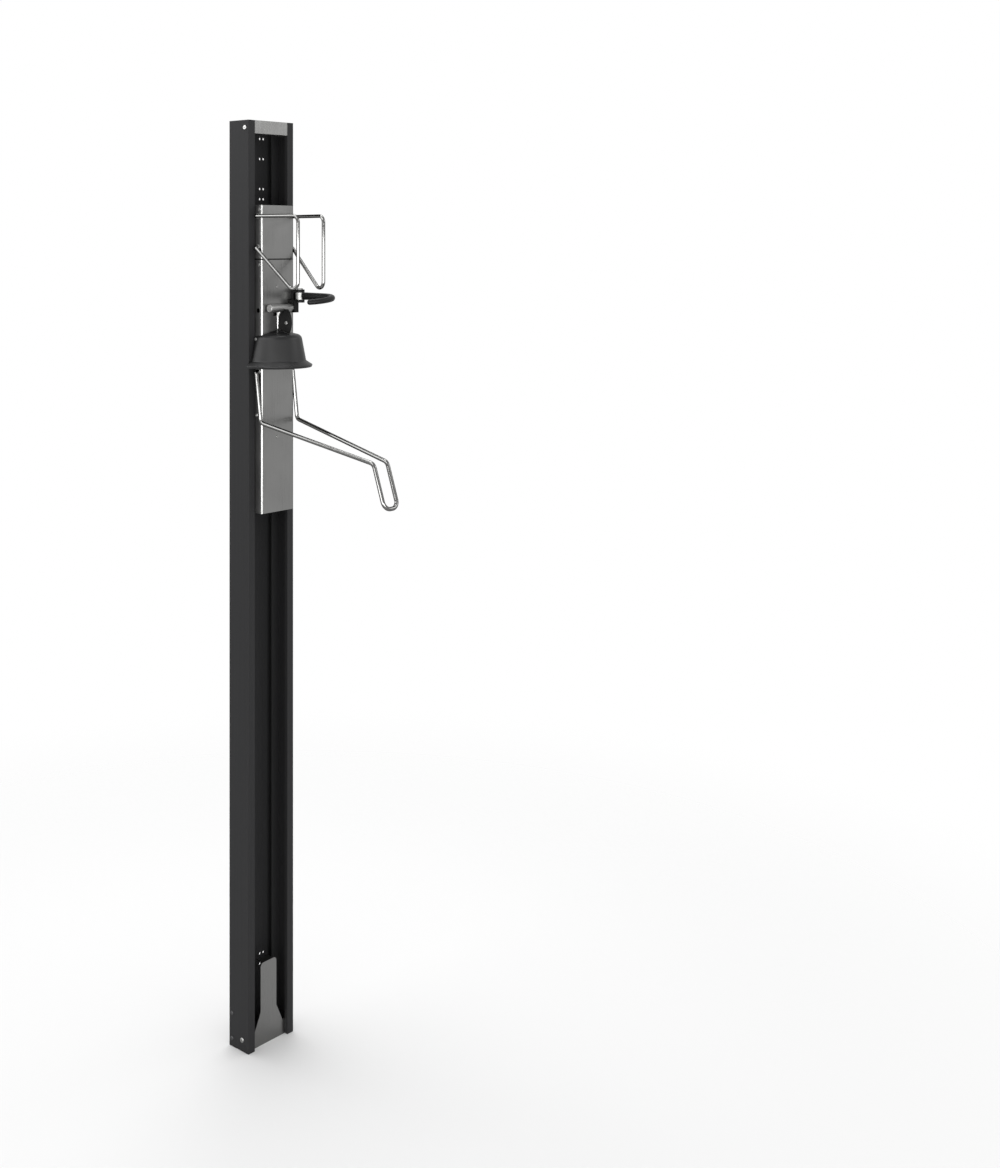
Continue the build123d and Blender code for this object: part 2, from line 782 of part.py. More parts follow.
with BuildPart() as cover_screws:
    with Locations(*(facing_x(side, cover_x, cover_screw_y, cover_screw_z) for side in (-1, 1))):
        add(
            headed_pin(
                cover_screw_r, cover_screw_length, cover_screw_head_r, cover_screw_head, cover_screw_socket
            )
        )
cover_screws.part.label = "cover_screws"
export_step(cover_screws.part, "parts/cover_screws.step")

# ---------------------------------------------------------------------------
# Wire hoops beside the wheel, with their collars
# ---------------------------------------------------------------------------
hoop_front_y = cover_front - hoop_reach


def hoop_wire(side):
    """Hoop of bent wire that leaves the cover's side and leans in toward the tyre."""
    wire_x = side * hoop_x
    front_x = side * hoop_half_gap
    end_x = side * wire_end_x
    with BuildPart() as hoop:
        with BuildLine() as route:
            FilletPolyline(
                (end_x, hoop_end_y, hoop_top_z),
                (wire_x, hoop_end_y, hoop_top_z),
                (front_x, hoop_front_y, hoop_top_z),
                (front_x, hoop_front_y, hoop_dip_z),
                (wire_x, hoop_end_y, hoop_low_z),
                (end_x, hoop_end_y, hoop_low_z),
                radius=(hoop_bend, hoop_corner, hoop_corner, hoop_bend),
            )
        with BuildSketch(Plane(origin=route.line @ 0, z_dir=route.line % 0)):
            Circle(hoop_wire_r)
        sweep(path=route.line)
    return hoop.part


for side_name, side in (("left", -1), ("right", 1)):
    with BuildPart() as hoop_node:
        add(hoop_wire(side))
    hoop_node.part.label = f"hoop_{side_name}"
    export_step(hoop_node.part, f"parts/hoop_{side_name}.step")


collar_rim = 2.0
collar_chamfer = 0.6


def collar(wire_r):
    """Ring that lies on the cover around a wire end."""
    with BuildPart() as ring:
        with BuildSketch():
            Circle(wire_r + collar_rim)
            Circle(wire_r + fit, mode=Mode.SUBTRACT)
        extrude(amount=collar_height)
        chamfer(ring.edges().group_by(Axis.Z)[-1].sort_by(SortBy.LENGTH)[-1], collar_chamfer)
    return ring.part


with BuildPart() as hoop_collars:
    for z in (hoop_top_z, hoop_low_z):
        with Locations(*(facing_x(side, cover_x, hoop_end_y, z) for side in (-1, 1))):
            add(collar(hoop_wire_r))
hoop_collars.part.label = "hoop_collars"
export_step(hoop_collars.part, "parts/hoop_collars.step")

# ---------------------------------------------------------------------------
# Wire cradle: two arms that join in a U handle in front of the wheel
# ---------------------------------------------------------------------------
leg_lean = 4.5
leg_drop = 321.0
arm_drop = 378.0
handle_drop = 460.0
handle_rake = 28.0
leg_bend = 10.0
arm_bend = 14.0
handle_bend = 15.0
handle_x = cradle_handle_width / 2
cradle_front_y = cover_front - cradle_reach
arm_points = (
    (wire_end_x, cradle_end_y, cradle_end_z),
    (cradle_x, cradle_end_y, cradle_end_z),
    (cradle_x, cover_front - leg_lean, seam_z - leg_drop),
    (handle_x, cradle_front_y + handle_rake, seam_z - arm_drop),
    (handle_x, cradle_front_y, seam_z - handle_drop),
)
arm_bends = (cradle_bend, leg_bend, arm_bend, handle_bend)

with BuildPart() as cradle_wire:
    with BuildLine() as cradle_route:
        FilletPolyline(
            *arm_points,
            *((-x, y, z) for x, y, z in reversed(arm_points)),
            radius=(*arm_bends, *reversed(arm_bends)),
        )
    with BuildSketch(Plane(origin=cradle_route.line @ 0, z_dir=cradle_route.line % 0)):
        Circle(cradle_wire_r)
    sweep(path=cradle_route.line)
cradle_wire.part.label = "cradle_wire"
export_step(cradle_wire.part, "parts/cradle_wire.step")

with BuildPart() as cradle_collars:
    with Locations(*(facing_x(side, cover_x, cradle_end_y, cradle_end_z) for side in (-1, 1))):
        add(collar(cradle_wire_r))
cradle_collars.part.label = "cradle_collars"
export_step(cradle_collars.part, "parts/cradle_collars.step")

# ---------------------------------------------------------------------------
# Hood: funnel round the cover, open toward the wall, with a flared mouth
# ---------------------------------------------------------------------------
shoulder_drop = 10.5
waist_drop = 61.0
mouth_drop = 69.5
lip_taper = 1.8
lip_sheet = 2.4
shoulder_round = 12.0
waist_round = 4.0
lip_round = 1.5
lining_in = 2.4
lining_down = 2.5
pad_depth = 8.0
pad_below = 5.0
pad_above = 5.0
shoulder_r = cover_x + hood_shoulder_side
waist_r = cover_x + hood_waist_side
mouth_r = cover_x + hood_mouth_side
hood_axis = Axis((0, hood_axis_y, 0), (0, 0, 1))
hood_side_x = mouth_r + breakout
hollow_z = (hood_bottom_z - breakout, hood_top_z + breakout)

with BuildPart() as hood_void:
    with BuildSketch(Plane.XZ.offset(-hood_axis_y)):
        with BuildLine():
            lining = FilletPolyline(
                (0, hood_top_z - hood_wall),
                (shoulder_r - lining_in, hood_top_z - shoulder_drop - lining_down),
                (waist_r - hood_wall, hood_top_z - waist_drop - lining_in),
                (mouth_r - lip_taper - lip_sheet, hood_bottom_z),
                radius=(shoulder_round - hood_wall, waist_round),
            )
            Polyline(lining @ 0, (0, hood_bottom_z), lining @ 1)
        make_face()
    revolve(axis=hood_axis)
    for side in (-1, 1):
        block(
            (side * cover_x, side * (shoulder_r + hood_wall)),
            (hood_back_y, hood_back_y - pad_depth),
            (hood_screw_z - pad_below, hood_screw_z + pad_above),
            Mode.SUBTRACT,
        )

with BuildPart() as hood:
    with BuildSketch(Plane.XZ.offset(-hood_axis_y)):
        with BuildLine():
            skin = FilletPolyline(
                (0, hood_top_z),
                (shoulder_r, hood_top_z - shoulder_drop),
                (waist_r, hood_top_z - waist_drop),
                (mouth_r, hood_top_z - mouth_drop),
                (mouth_r - lip_taper, hood_bottom_z),
                radius=(shoulder_round, waist_round, lip_round),
            )
            Polyline(skin @ 0, (0, hood_bottom_z), skin @ 1)
        make_face()
    revolve(axis=hood_axis)
    add(hood_void.part, mode=Mode.SUBTRACT)
    block((-cover_x, cover_x), (cover_front, 0), hollow_z, Mode.SUBTRACT)
    block((-hood_side_x, hood_side_x), (hood_back_y, 0), hollow_z, Mode.SUBTRACT)
    hood_bore_x = (cover_x - breakout, hood_side_x)
    cut_side_holes(hood_bore_x, [(hood_screw_y, hood_screw_z, hood_screw_r + fit)])
    seat_cut_x = (hood_seat_x, hood_side_x)
    cut_side_holes(seat_cut_x, [(hood_screw_y, hood_screw_z, hood_screw_head_r + glide_gap)])
hood.part.label = "hood"
export_step(hood.part, "parts/hood.step")

hood_screw_stub = 1.5
hood_screw_length = hood_seat_x - chassis_in + hood_screw_stub
hood_screw_head = 1.8
hood_screw_socket = 1.2

with BuildPart() as hood_screws:
    with Locations(*(facing_x(side, hood_seat_x, hood_screw_y, hood_screw_z) for side in (-1, 1))):
        add(
            headed_pin(hood_screw_r, hood_screw_length, hood_screw_head_r, hood_screw_head, hood_screw_socket)
        )
hood_screws.part.label = "hood_screws"
export_step(hood_screws.part, "parts/hood_screws.step")

# ---------------------------------------------------------------------------
# Hook bracket: cheek plate through the cover, crossbar and forked knuckle
# ---------------------------------------------------------------------------
bracket_stand = 1.0
bracket_drop = 125.0
crossbar_stand = 10.0
crossbar_drop = 97.0
bolt_stand = 26.0
bolt_drop = 126.0
bolt_r = 2.5
bolt_stub = 4.5
bolt_head_r = 3.8
bolt_head = 2.4
bolt_socket = 1.4
bolt_nut_height = 3.5
backing_x = 20.0
backing_drop = 45.0
backing_height = 140.0
hook_side = 4.0
pivot_side = 2.0
pivot_stand = 18.0
saddle_drop = 2.0
dome_gap = 0.7
bracket_y = cover_front - bracket_stand
bracket_z = seam_z - bracket_drop
crossbar_y = cover_front - crossbar_stand
crossbar_z = seam_z - crossbar_drop
bolt_y = cover_front - bolt_stand
bolt_z = seam_z - bolt_drop
backing_z = (seam_z - backing_drop - backing_height, seam_z - backing_drop)
hook_z = seam_z - hook_drop
hook_x = cover_x + hook_side
pivot_x = cover_x + pivot_side
pivot_y = cover_front - pivot_stand
cheek_x = (-breakout, bracket_sheet + breakout)

with BuildPart() as hook_bracket:
    with BuildSketch(Plane.YZ):
        with Locations((bracket_y, bracket_z)):
            Circle(bracket_r)
        with BuildLine():
            Polyline(
                (cover_front, bracket_z - 2 * bracket_r),
                (cover_front, bracket_z + 2 * bracket_r),
                (cover_front + 2 * bracket_r, bracket_z + 2 * bracket_r),
                (cover_front + 2 * bracket_r, bracket_z - 2 * bracket_r),
                close=True,
            )
        make_face(mode=Mode.SUBTRACT)
        with BuildLine():
            Polyline(
                (cover_front, hood_top_z + dome_gap),
                (cover_front - shoulder_r, hood_top_z - shoulder_drop + dome_gap),
                (cover_front - shoulder_r, hood_bottom_z),
                (cover_front, hood_bottom_z),
                close=True,
            )
        make_face(mode=Mode.SUBTRACT)
    extrude(amount=bracket_sheet)
    neck_z = (bracket_neck_z[0] + glide_gap, bracket_neck_z[1] - glide_gap)
    block((0, bracket_sheet), (cover_front, web_back), neck_z)
    block((-backing_x, backing_x), (web_back, web_back + bracket_sheet), backing_z)
    bar_x(cheek_x, crossbar_y, crossbar_z, crossbar_r + fit, Mode.SUBTRACT)
    above_saddle_z = (crossbar_z - saddle_drop, bracket_z + 2 * bracket_r)
    block(cheek_x, (cover_front - 2 * bracket_r, cover_front), above_saddle_z, Mode.SUBTRACT)
    bar_x(cheek_x, bolt_y, bolt_z, bolt_r + fit, Mode.SUBTRACT)
    backing_y = (web_back - breakout, web_back + bracket_sheet + breakout)
    bar_y(0, backing_y, front_rivet_zs[0], rivet_r + fit, Mode.SUBTRACT)
hook_bracket.part.label = "hook_bracket"
export_step(hook_bracket.part, "parts/hook_bracket.step")

with BuildPart() as bracket_bolt:
    with Locations(facing_x(-1, 0, bolt_y, bolt_z)):
        add(headed_pin(bolt_r, bracket_sheet + bolt_stub, bolt_head_r, bolt_head, bolt_socket))
bracket_bolt.part.label = "bracket_bolt"
export_step(bracket_bolt.part, "parts/bracket_bolt.step")

with BuildPart() as bracket_nut:
    with Locations(facing_x(1, bracket_sheet, bolt_y, bolt_z)):
        add(hex_nut(bolt_r + fit, nut_corner_r, bolt_nut_height))
bracket_nut.part.label = "bracket_nut"
export_step(bracket_nut.part, "parts/bracket_nut.step")

crossbar_left_gap = 10.0
crossbar_right_gap = 8.0
crossbar_chamfer = 1.2
crossbar_left = -(cover_x - crossbar_left_gap)
crossbar_right = cover_x - crossbar_right_gap

with BuildPart() as hook_crossbar:
    bar_x((crossbar_left, crossbar_right), crossbar_y, crossbar_z, crossbar_r)
    chamfer(hook_crossbar.edges().group_by(Axis.X)[0], crossbar_chamfer)
hook_crossbar.part.label = "hook_crossbar"
export_step(hook_crossbar.part, "parts/hook_crossbar.step")

eye_r = 9.0
eye_depth = 7.0
lug_height = 6.0
lug_inset = 3.0
knuckle_gap = 1.0
knuckle_room = 0.6
socket_half = 9.5
socket_overlap = 7.0
socket_reach = 4.5
lug_low = (hook_z - eye_depth - lug_height, hook_z - eye_depth - glide_gap)
lug_high = (hook_z + eye_depth + glide_gap, hook_z + eye_depth + lug_height)
lug_x = (pivot_x - eye_r, pivot_x + eye_r - lug_inset)
knuckle_back = cover_front - knuckle_gap
knuckle_wall = pivot_y + eye_r + knuckle_room
socket_x = (crossbar_right - socket_overlap, crossbar_right + socket_reach)

with BuildPart() as hook_knuckle:
    block(socket_x, (knuckle_back, crossbar_y - socket_half), (crossbar_z - socket_half, lug_low[1]))
    for low, high in (lug_low, lug_high):
        bar_z(pivot_x, pivot_y, (low, high), eye_r)
        block(lug_x, (pivot_y, knuckle_back), (low, high))
    block(lug_x, (knuckle_wall, knuckle_back), (lug_low[0], lug_high[1]))
    socket_bore = (socket_x[0] - breakout, crossbar_right)
    bar_x(socket_bore, crossbar_y, crossbar_z, crossbar_r + fit, Mode.SUBTRACT)
    pin_bore = (lug_low[0] - breakout, lug_high[1] + breakout)
    bar_z(pivot_x, pivot_y, pin_bore, hook_pin_r + fit, Mode.SUBTRACT)
hook_knuckle.part.label = "hook_knuckle"
export_step(hook_knuckle.part, "parts/hook_knuckle.step")

hook_pin_head_r = 6.0
hook_pin_head = 2.5

with BuildPart() as hook_pin:
    with Locations((pivot_x, pivot_y, lug_high[1])):
        add(headed_pin(hook_pin_r, lug_high[1] - lug_low[0], hook_pin_head_r, hook_pin_head))
hook_pin.part.label = "hook_pin"
export_step(hook_pin.part, "parts/hook_pin.step")

# ---------------------------------------------------------------------------
# Hook: steel core with an eye, and the rubber sleeve moulded on it
# ---------------------------------------------------------------------------
loop_y = cover_front - hook_reach
sleeve_gap = 3.0
core_root = 4.0
core_short = 12.0
bore_step = 1.0
bore_over = 0.1
sleeve_start_y = pivot_y - eye_r - sleeve_gap
core_wrap = hook_wrap - core_short
hook_plane = Plane(origin=(hook_x, 0, hook_z)).rotated((0, -hook_tilt, 0))

with BuildPart() as hook_arm:
    with BuildLine(hook_plane) as core_route:
        Line((0, pivot_y - core_root), (0, loop_y))
        CenterArc((-hook_x, loop_y), hook_x, 0, -core_wrap)
    with BuildSketch(Plane(origin=core_route.line @ 0, z_dir=core_route.line % 0)):
        Circle(hook_core_r)
    sweep(path=core_route.line)
    bar_z(pivot_x, pivot_y, (hook_z - eye_depth, hook_z + eye_depth), eye_r)
    bar_z(pivot_x, pivot_y, (hook_z - 2 * eye_depth, hook_z + 2 * eye_depth), hook_pin_r + fit, Mode.SUBTRACT)
hook_arm.part.label = "hook_arm"
export_step(hook_arm.part, "parts/hook_arm.step")

with BuildPart() as hook_sleeve:
    with BuildLine(hook_plane) as sleeve_route:
        Line((0, sleeve_start_y), (0, loop_y))
        CenterArc((-hook_x, loop_y), hook_x, 0, -hook_wrap)
    with BuildSketch(Plane(origin=sleeve_route.line @ 0, z_dir=sleeve_route.line % 0)) as root_section:
        Circle(hook_root_r)
    with BuildSketch(Plane(origin=sleeve_route.line @ 1, z_dir=sleeve_route.line % 1)) as tip_section:
        Circle(hook_tip_r)
    sweep(path=sleeve_route.line, multisection=True)
    with Locations(sleeve_route.line @ 1):
        Sphere(hook_tip_r)
    with BuildLine(hook_plane) as bore_route:
        Line((0, sleeve_start_y + bore_step), (0, loop_y))
        CenterArc((-hook_x, loop_y), hook_x, 0, -core_wrap - bore_over)
    with BuildSketch(Plane(origin=bore_route.line @ 0, z_dir=bore_route.line % 0)):
        Circle(hook_core_r + fit)
    sweep(path=bore_route.line, mode=Mode.SUBTRACT)
hook_sleeve.part.label = "hook_sleeve"
export_step(hook_sleeve.part, "parts/hook_sleeve.step")
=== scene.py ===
"""Studio scene of a wall-mounted lift rack that holds one bicycle upright.

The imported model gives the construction: a powder-coated wall rail, a sliding
carriage behind two folded covers, wire hoops and a wire cradle for the wheel,
a moulded hood and a rubber-sleeved hook. This script gives each piece its
finish and builds the wires, the hood, the hook sleeve and a weld bead as finer
meshes. Lengths are in metres unless a name ends in _mm.
"""

from __future__ import annotations

import logging
import math
from dataclasses import dataclass, field
from enum import Enum
from typing import Any

import bmesh
import bpy
from mathutils import Matrix, Vector


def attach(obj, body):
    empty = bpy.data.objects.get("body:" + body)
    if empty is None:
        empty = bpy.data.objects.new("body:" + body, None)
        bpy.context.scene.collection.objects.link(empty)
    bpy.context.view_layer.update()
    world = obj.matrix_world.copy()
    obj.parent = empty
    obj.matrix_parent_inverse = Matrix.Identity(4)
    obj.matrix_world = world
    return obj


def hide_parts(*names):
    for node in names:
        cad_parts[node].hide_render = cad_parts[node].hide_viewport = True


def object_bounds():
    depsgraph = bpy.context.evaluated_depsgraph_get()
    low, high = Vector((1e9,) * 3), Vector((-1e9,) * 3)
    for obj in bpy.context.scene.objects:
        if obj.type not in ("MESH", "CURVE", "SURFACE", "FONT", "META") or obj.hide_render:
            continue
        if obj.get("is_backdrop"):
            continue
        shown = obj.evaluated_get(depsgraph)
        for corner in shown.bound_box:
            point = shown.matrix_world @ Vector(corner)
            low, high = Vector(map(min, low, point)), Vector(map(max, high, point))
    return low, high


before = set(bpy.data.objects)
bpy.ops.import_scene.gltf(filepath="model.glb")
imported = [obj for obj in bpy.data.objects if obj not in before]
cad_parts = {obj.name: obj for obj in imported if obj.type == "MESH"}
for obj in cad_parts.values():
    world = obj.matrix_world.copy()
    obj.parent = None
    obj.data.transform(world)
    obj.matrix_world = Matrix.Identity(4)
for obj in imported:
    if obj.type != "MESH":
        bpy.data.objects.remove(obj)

BMesh = bmesh.types.BMesh
Material = bpy.types.Material
Socket = bpy.types.NodeSocket
Tree = bpy.types.NodeTree
Rgba = tuple[float, float, float, float]
Point = tuple[float, float, float]
Span = tuple[float, float]

LOG = logging.getLogger("lift_rack")
MM = 0.001
WELD_DISTANCE = 1e-6
SHARP_ANGLE_DEG = 50.0
WHITE: Rgba = (1.0, 1.0, 1.0, 1.0)
# Nearly every value of one noise texture, and of two added up, lies in these spans.
NOISE_SPAN: Span = (0.3, 0.7)
SUM_SPAN: Span = (0.7, 1.3)


class Body(Enum):
    """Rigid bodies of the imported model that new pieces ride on."""

    CARRIAGE = "carriage"
    HOOK = "hook"


class Slot(Enum):
    """Material slots of the record, one handed to each built piece."""

    BRIGHT_WIRE = "bright_wire"
    MOULDING = "black_moulding"
    RUBBER = "hook_rubber"
    PLATED = "plated_steel"


class Side(Enum):
    """Left and right of the rack, seen from the front, as the sign of X."""

    LEFT = -1
    RIGHT = 1


# --------------------------------------------------------------------------
# Shader helpers
# --------------------------------------------------------------------------
def linear(code: str) -> Rgba:
    """Turn an sRGB hex code into linear colour.

    Args:
        code: Six hex digits with a leading hash, such as "#3f3f40".

    Returns:
        Linear red, green, blue and an alpha of one.
    """
    values = [int(code[i : i + 2], 16) / 255 for i in (1, 3, 5)]
    lit = [v / 12.92 if v <= 0.04045 else ((v + 0.055) / 1.055) ** 2.4 for v in values]
    return (lit[0], lit[1], lit[2], 1.0)


def cycles_per_metre(feature_mm: float) -> float:
    """Texture scale that makes one feature of a pattern this many millimetres wide."""
    return 1.0 / (feature_mm * MM)


def add_node(
    tree: Tree, kind: str, inputs: dict[Any, Any] | None = None, **settings: Any
) -> bpy.types.Node:
    """Add one shader node with its settings, values and links.

    Args:
        tree: Node tree that receives the node.
        kind: Node type, such as "ShaderNodeBump".
        inputs: Input socket name or index to a value, or to an output socket to link.
        **settings: Attributes of the node itself.

    Returns:
        The new node.
    """
    node = tree.nodes.new(kind)
    for name, value in settings.items():
        setattr(node, name, value)
    for name, value in (inputs or {}).items():
        socket = node.inputs[name]
        if isinstance(value, Socket):
            tree.links.new(value, socket)
        else:
            socket.default_value = value
    return node


def new_material(name: str) -> tuple[Material, Tree, Socket]:
    """Start an empty node material.

    Args:
        name: Material name.

    Returns:
        The material, its node tree and the surface input of its output node.
    """
    material = bpy.data.materials.new(name)
    material.use_nodes = True
    tree = material.node_tree
    tree.nodes.clear()
    output = add_node(tree, "ShaderNodeOutputMaterial")
    return material, tree, output.inputs["Surface"]


def object_place(tree: Tree) -> Socket:
    """Coordinates in the object's own frame, in metres."""
    return add_node(tree, "ShaderNodeTexCoord").outputs["Object"]


def stretch(tree: Tree, place: Socket, feature_mm: Point) -> Socket:
    """Stretch coordinates so that a pattern of scale one has features of these lengths.

    Args:
        tree: Node tree of the material.
        place: Coordinates in metres.
        feature_mm: Length of one feature along X, Y and Z.

    Returns:
        The stretched coordinates.
    """
    scales = tuple(cycles_per_metre(size) for size in feature_mm)
    node = add_node(tree, "ShaderNodeVectorMath", {0: place, 1: scales}, operation="MULTIPLY")
    return node.outputs["Vector"]


def noise(tree: Tree, place: Socket, scale: float, detail: float) -> Socket:
    """Draw a noise pattern.

    Args:
        tree: Node tree of the material.
        place: Coordinates that the pattern lies in.
        scale: Features per unit of those coordinates.
        detail: Octaves of finer noise.

    Returns:
        The pattern's value, from 0 to 1.
    """
    inputs = {"Vector": place, "Scale": scale, "Detail": detail}
    return add_node(tree, "ShaderNodeTexNoise", inputs).outputs["Fac"]


def combine(tree: Tree, first: Socket, second: Socket, operation: str) -> Socket:
    """Join two values with one arithmetic operation.

    Args:
        tree: Node tree of the material or world.
        first: First value.
        second: Second value.
        operation: Name of the operation, such as "ADD".

    Returns:
        The joined value.
    """
    node = add_node(tree, "ShaderNodeMath", {0: first, 1: second}, operation=operation)
    return node.outputs["Value"]


def remap(tree: Tree, value: Socket, source: Span, target: Span) -> Socket:
    """Map one span of a value to another.

    Args:
        tree: Node tree of the material.
        value: Value to map.
        source: Its lower and upper end.
        target: What these two ends become.

    Returns:
        The mapped value.
    """
    low, high = source
    new_low, new_high = target
    inputs = {
        "Value": value,
        "From Min": low,
        "From Max": high,
        "To Min": new_low,
        "To Max": new_high,
    }
    return add_node(tree, "ShaderNodeMapRange", inputs).outputs["Result"]


def around(middle: float, reach: float) -> Span:
    """Span that reaches equally far below and above its middle."""
    return (middle - reach, middle + reach)


def toned(tree: Tree, colour: str, tone: Socket) -> Socket:
    """Multiply a colour by a tone that varies around one.

    Args:
        tree: Node tree of the material.
        colour: Hex code of the colour.
        tone: Factor at each point.

    Returns:
        The toned colour.
    """
    inputs = {0: linear(colour)[:3], "Scale": tone}
    return add_node(tree, "ShaderNodeVectorMath", inputs, operation="SCALE").outputs["Vector"]


def relief(tree: Tree, height: Socket, strength: float, height_mm: float) -> Socket:
    """Turn a pattern into a shallow relief.

    Args:
        tree: Node tree of the material.
        height: Pattern, from 0 to 1.
        strength: Share of the relief that shows.
        height_mm: Height of the relief.

    Returns:
        The bumped normal.
    """
    inputs = {"Height": height, "Strength": strength, "Distance": height_mm * MM}
    return add_node(tree, "ShaderNodeBump", inputs).outputs["Normal"]


def finish_surface(tree: Tree, surface: Socket, inputs: dict[str, Any]) -> None:
    """Feed a Principled shader into the material's surface.

    Args:
        tree: Node tree of the material.
        surface: Surface input of the output node.
        inputs: Input socket name to a value, or to an output socket to link.
    """
    shader = add_node(tree, "ShaderNodeBsdfPrincipled", inputs)
    tree.links.new(shader.outputs["BSDF"], surface)


# --------------------------------------------------------------------------
# Mesh helpers
# --------------------------------------------------------------------------
def rounded_path(corners_mm: list[Point], rounds_mm: list[float], steps: int = 10) -> list[Vector]:
    """Round the inner corners of a run of straight stretches.

    Args:
        corners_mm: Ends and corners of the run.
        rounds_mm: Bend radius at each inner corner.
        steps: Number of stretches in each bend.

    Returns:
        Points of the rounded run, in metres.
    """
    points = [Vector(corner) * MM for corner in corners_mm]
    path = [points[0]]
    for before, corner, after, bend in zip(points, points[1:], points[2:], rounds_mm):
        towards_start = (before - corner).normalized()
        towards_end = (after - corner).normalized()
        half = towards_start.angle(towards_end) / 2
        reach = bend * MM / math.tan(half)
        middle = (towards_start + towards_end).normalized()
        centre = corner + middle * (bend * MM / math.sin(half))
        start = corner + towards_start * reach - centre
        end = corner + towards_end * reach - centre
        sweep = start.angle(end)
        for step in range(steps + 1):
            share = step / steps
            blend = start * math.sin((1 - share) * sweep) + end * math.sin(share * sweep)
            path.append(centre + blend / math.sin(sweep))
    path.append(points[-1])
    return path


def sweep_round(
    mesh: BMesh, path: list[Vector], radii: list[float], sides: int = 24
) -> list[list[bmesh.types.BMVert]]:
    """Sweep a circle along a path without twist and close both ends.

    Args:
        mesh: Mesh that receives the tube.
        path: Points that the middle of the tube follows.
        radii: Radius at each point.
        sides: Number of sides round the tube.

    Returns:
        The rings of vertices, from the first point to the last.
    """
    directions = [(b - a).normalized() for a, b in zip(path, path[1:])]
    tangents = [directions[0]]
    tangents += [(a + b).normalized() for a, b in zip(directions, directions[1:])]
    tangents.append(directions[-1])
    across = tangents[0].orthogonal().normalized()
    rings = []
    for point, tangent, radius in zip(path, tangents, radii):
        across = (across - tangent * across.dot(tangent)).normalized()
        beside = tangent.cross(across)
        ring = []
        for index in range(sides):
            turn = 2 * math.pi * index / sides
            out = across * math.cos(turn) + beside * math.sin(turn)
            ring.append(mesh.verts.new(point + out * radius))
        rings.append(ring)
    for low, high in zip(rings, rings[1:]):
        for index in range(sides):
            after = (index + 1) % sides
            mesh.faces.new((low[index], low[after], high[after], high[index]))
    mesh.faces.new(list(reversed(rings[0])))
    mesh.faces.new(rings[-1])
    return rings


def revolve(profile: list[Vector], centre_y: float, sides: int = 160) -> BMesh:
    """Turn a closed profile about an upright axis.

    Args:
        profile: Points as (radius, 0, height), the first and last on the axis.
        centre_y: Where the axis stands along Y.
        sides: Number of steps round the axis.

    Returns:
        The turned shell.
    """
    mesh = bmesh.new()
    verts = [mesh.verts.new((point.x, centre_y, point.z)) for point in profile]
    edges = [mesh.edges.new(pair) for pair in zip(verts, verts[1:])]
    bmesh.ops.spin(
        mesh,
        geom=verts + edges,
        cent=(0, centre_y, 0),
        axis=(0, 0, 1),
        angle=2 * math.pi,
        steps=sides,
    )
    bmesh.ops.remove_doubles(mesh, verts=mesh.verts, dist=WELD_DISTANCE)
    return mesh


def keep_side(mesh: BMesh, axis: int, place: float, below: bool) -> None:
    """Cut a mesh with a plane across one axis and keep one side.

    Args:
        mesh: Mesh to cut.
        axis: 0, 1 or 2 for X, Y or Z.
        place: Where the plane stands on that axis.
        below: True to keep what lies below the plane.
    """
    normal = Vector((0, 0, 0))
    normal[axis] = 1.0
    bmesh.ops.bisect_plane(
        mesh,
        geom=mesh.verts[:] + mesh.edges[:] + mesh.faces[:],
        plane_co=normal * place,
        plane_no=normal,
        clear_outer=below,
        clear_inner=not below,
    )


def cap_cut(mesh: BMesh, axis: int, place: float, side: Side) -> None:
    """Close the open edge that a plane cut left on one side of the rack.

    Args:
        mesh: Mesh with the open edge.
        axis: Axis that the cutting plane stands across.
        place: Where that plane stands.
        side: Side of the rack that the edge is on.

    Raises:
        ValueError: The open edge is not one run with two ends.
    """
    links: dict[Any, list[Any]] = {}
    for edge in mesh.edges:
        on_plane = all(abs(vert.co[axis] - place) < WELD_DISTANCE for vert in edge.verts)
        on_side = all(vert.co.x * side.value > 0 for vert in edge.verts)
        if edge.is_boundary and on_plane and on_side:
            for near, far in (edge.verts, reversed(edge.verts)):
                links.setdefault(near, []).append(far)
    ends = [vert for vert, others in links.items() if len(others) == 1]
    if len(ends) != 2:
        raise ValueError(f"the cut edge on the {side.name.lower()} has {len(ends)} ends")
    chain = [ends[0]]
    while len(chain) < len(links):
        step = [vert for vert in links[chain[-1]] if vert not in chain[-2:]]
        if not step:
            break
        chain.append(step[0])
    mesh.faces.new(chain)


def make_piece(
    name: str, mesh: BMesh, material: Material, body: Body, slot: Slot
) -> bpy.types.Object:
    """Turn a bmesh into a smooth-shaded piece that rides on a body.

    Args:
        name: Object name.
        mesh: Finished geometry, which is freed here.
        material: Finish of the piece.
        body: Body that carries it.
        slot: Material slot of the record that names its finish; not used.

    Returns:
        The new object.
    """
    bmesh.ops.recalc_face_normals(mesh, faces=mesh.faces)
    data = bpy.data.meshes.new(name)
    mesh.to_mesh(data)
    mesh.free()
    data.materials.append(material)
    data.shade_smooth()
    data.set_sharp_from_angle(angle=math.radians(SHARP_ANGLE_DEG))
    piece = bpy.data.objects.new(name, data)
    bpy.context.scene.collection.objects.link(piece)
    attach(piece, body.value)
    LOG.info("built %s with %d faces", name, len(data.polygons))
    return piece


def dress(material: Material, *nodes: str) -> None:
    """Give construction nodes one finish.

    Args:
        material: Finish to put on every face.
        *nodes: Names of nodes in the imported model.
    """
    for name in nodes:
        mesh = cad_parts[name].data
        mesh.materials.clear()
        mesh.materials.append(material)
        LOG.info("dressed %s in %s", name, material.name)


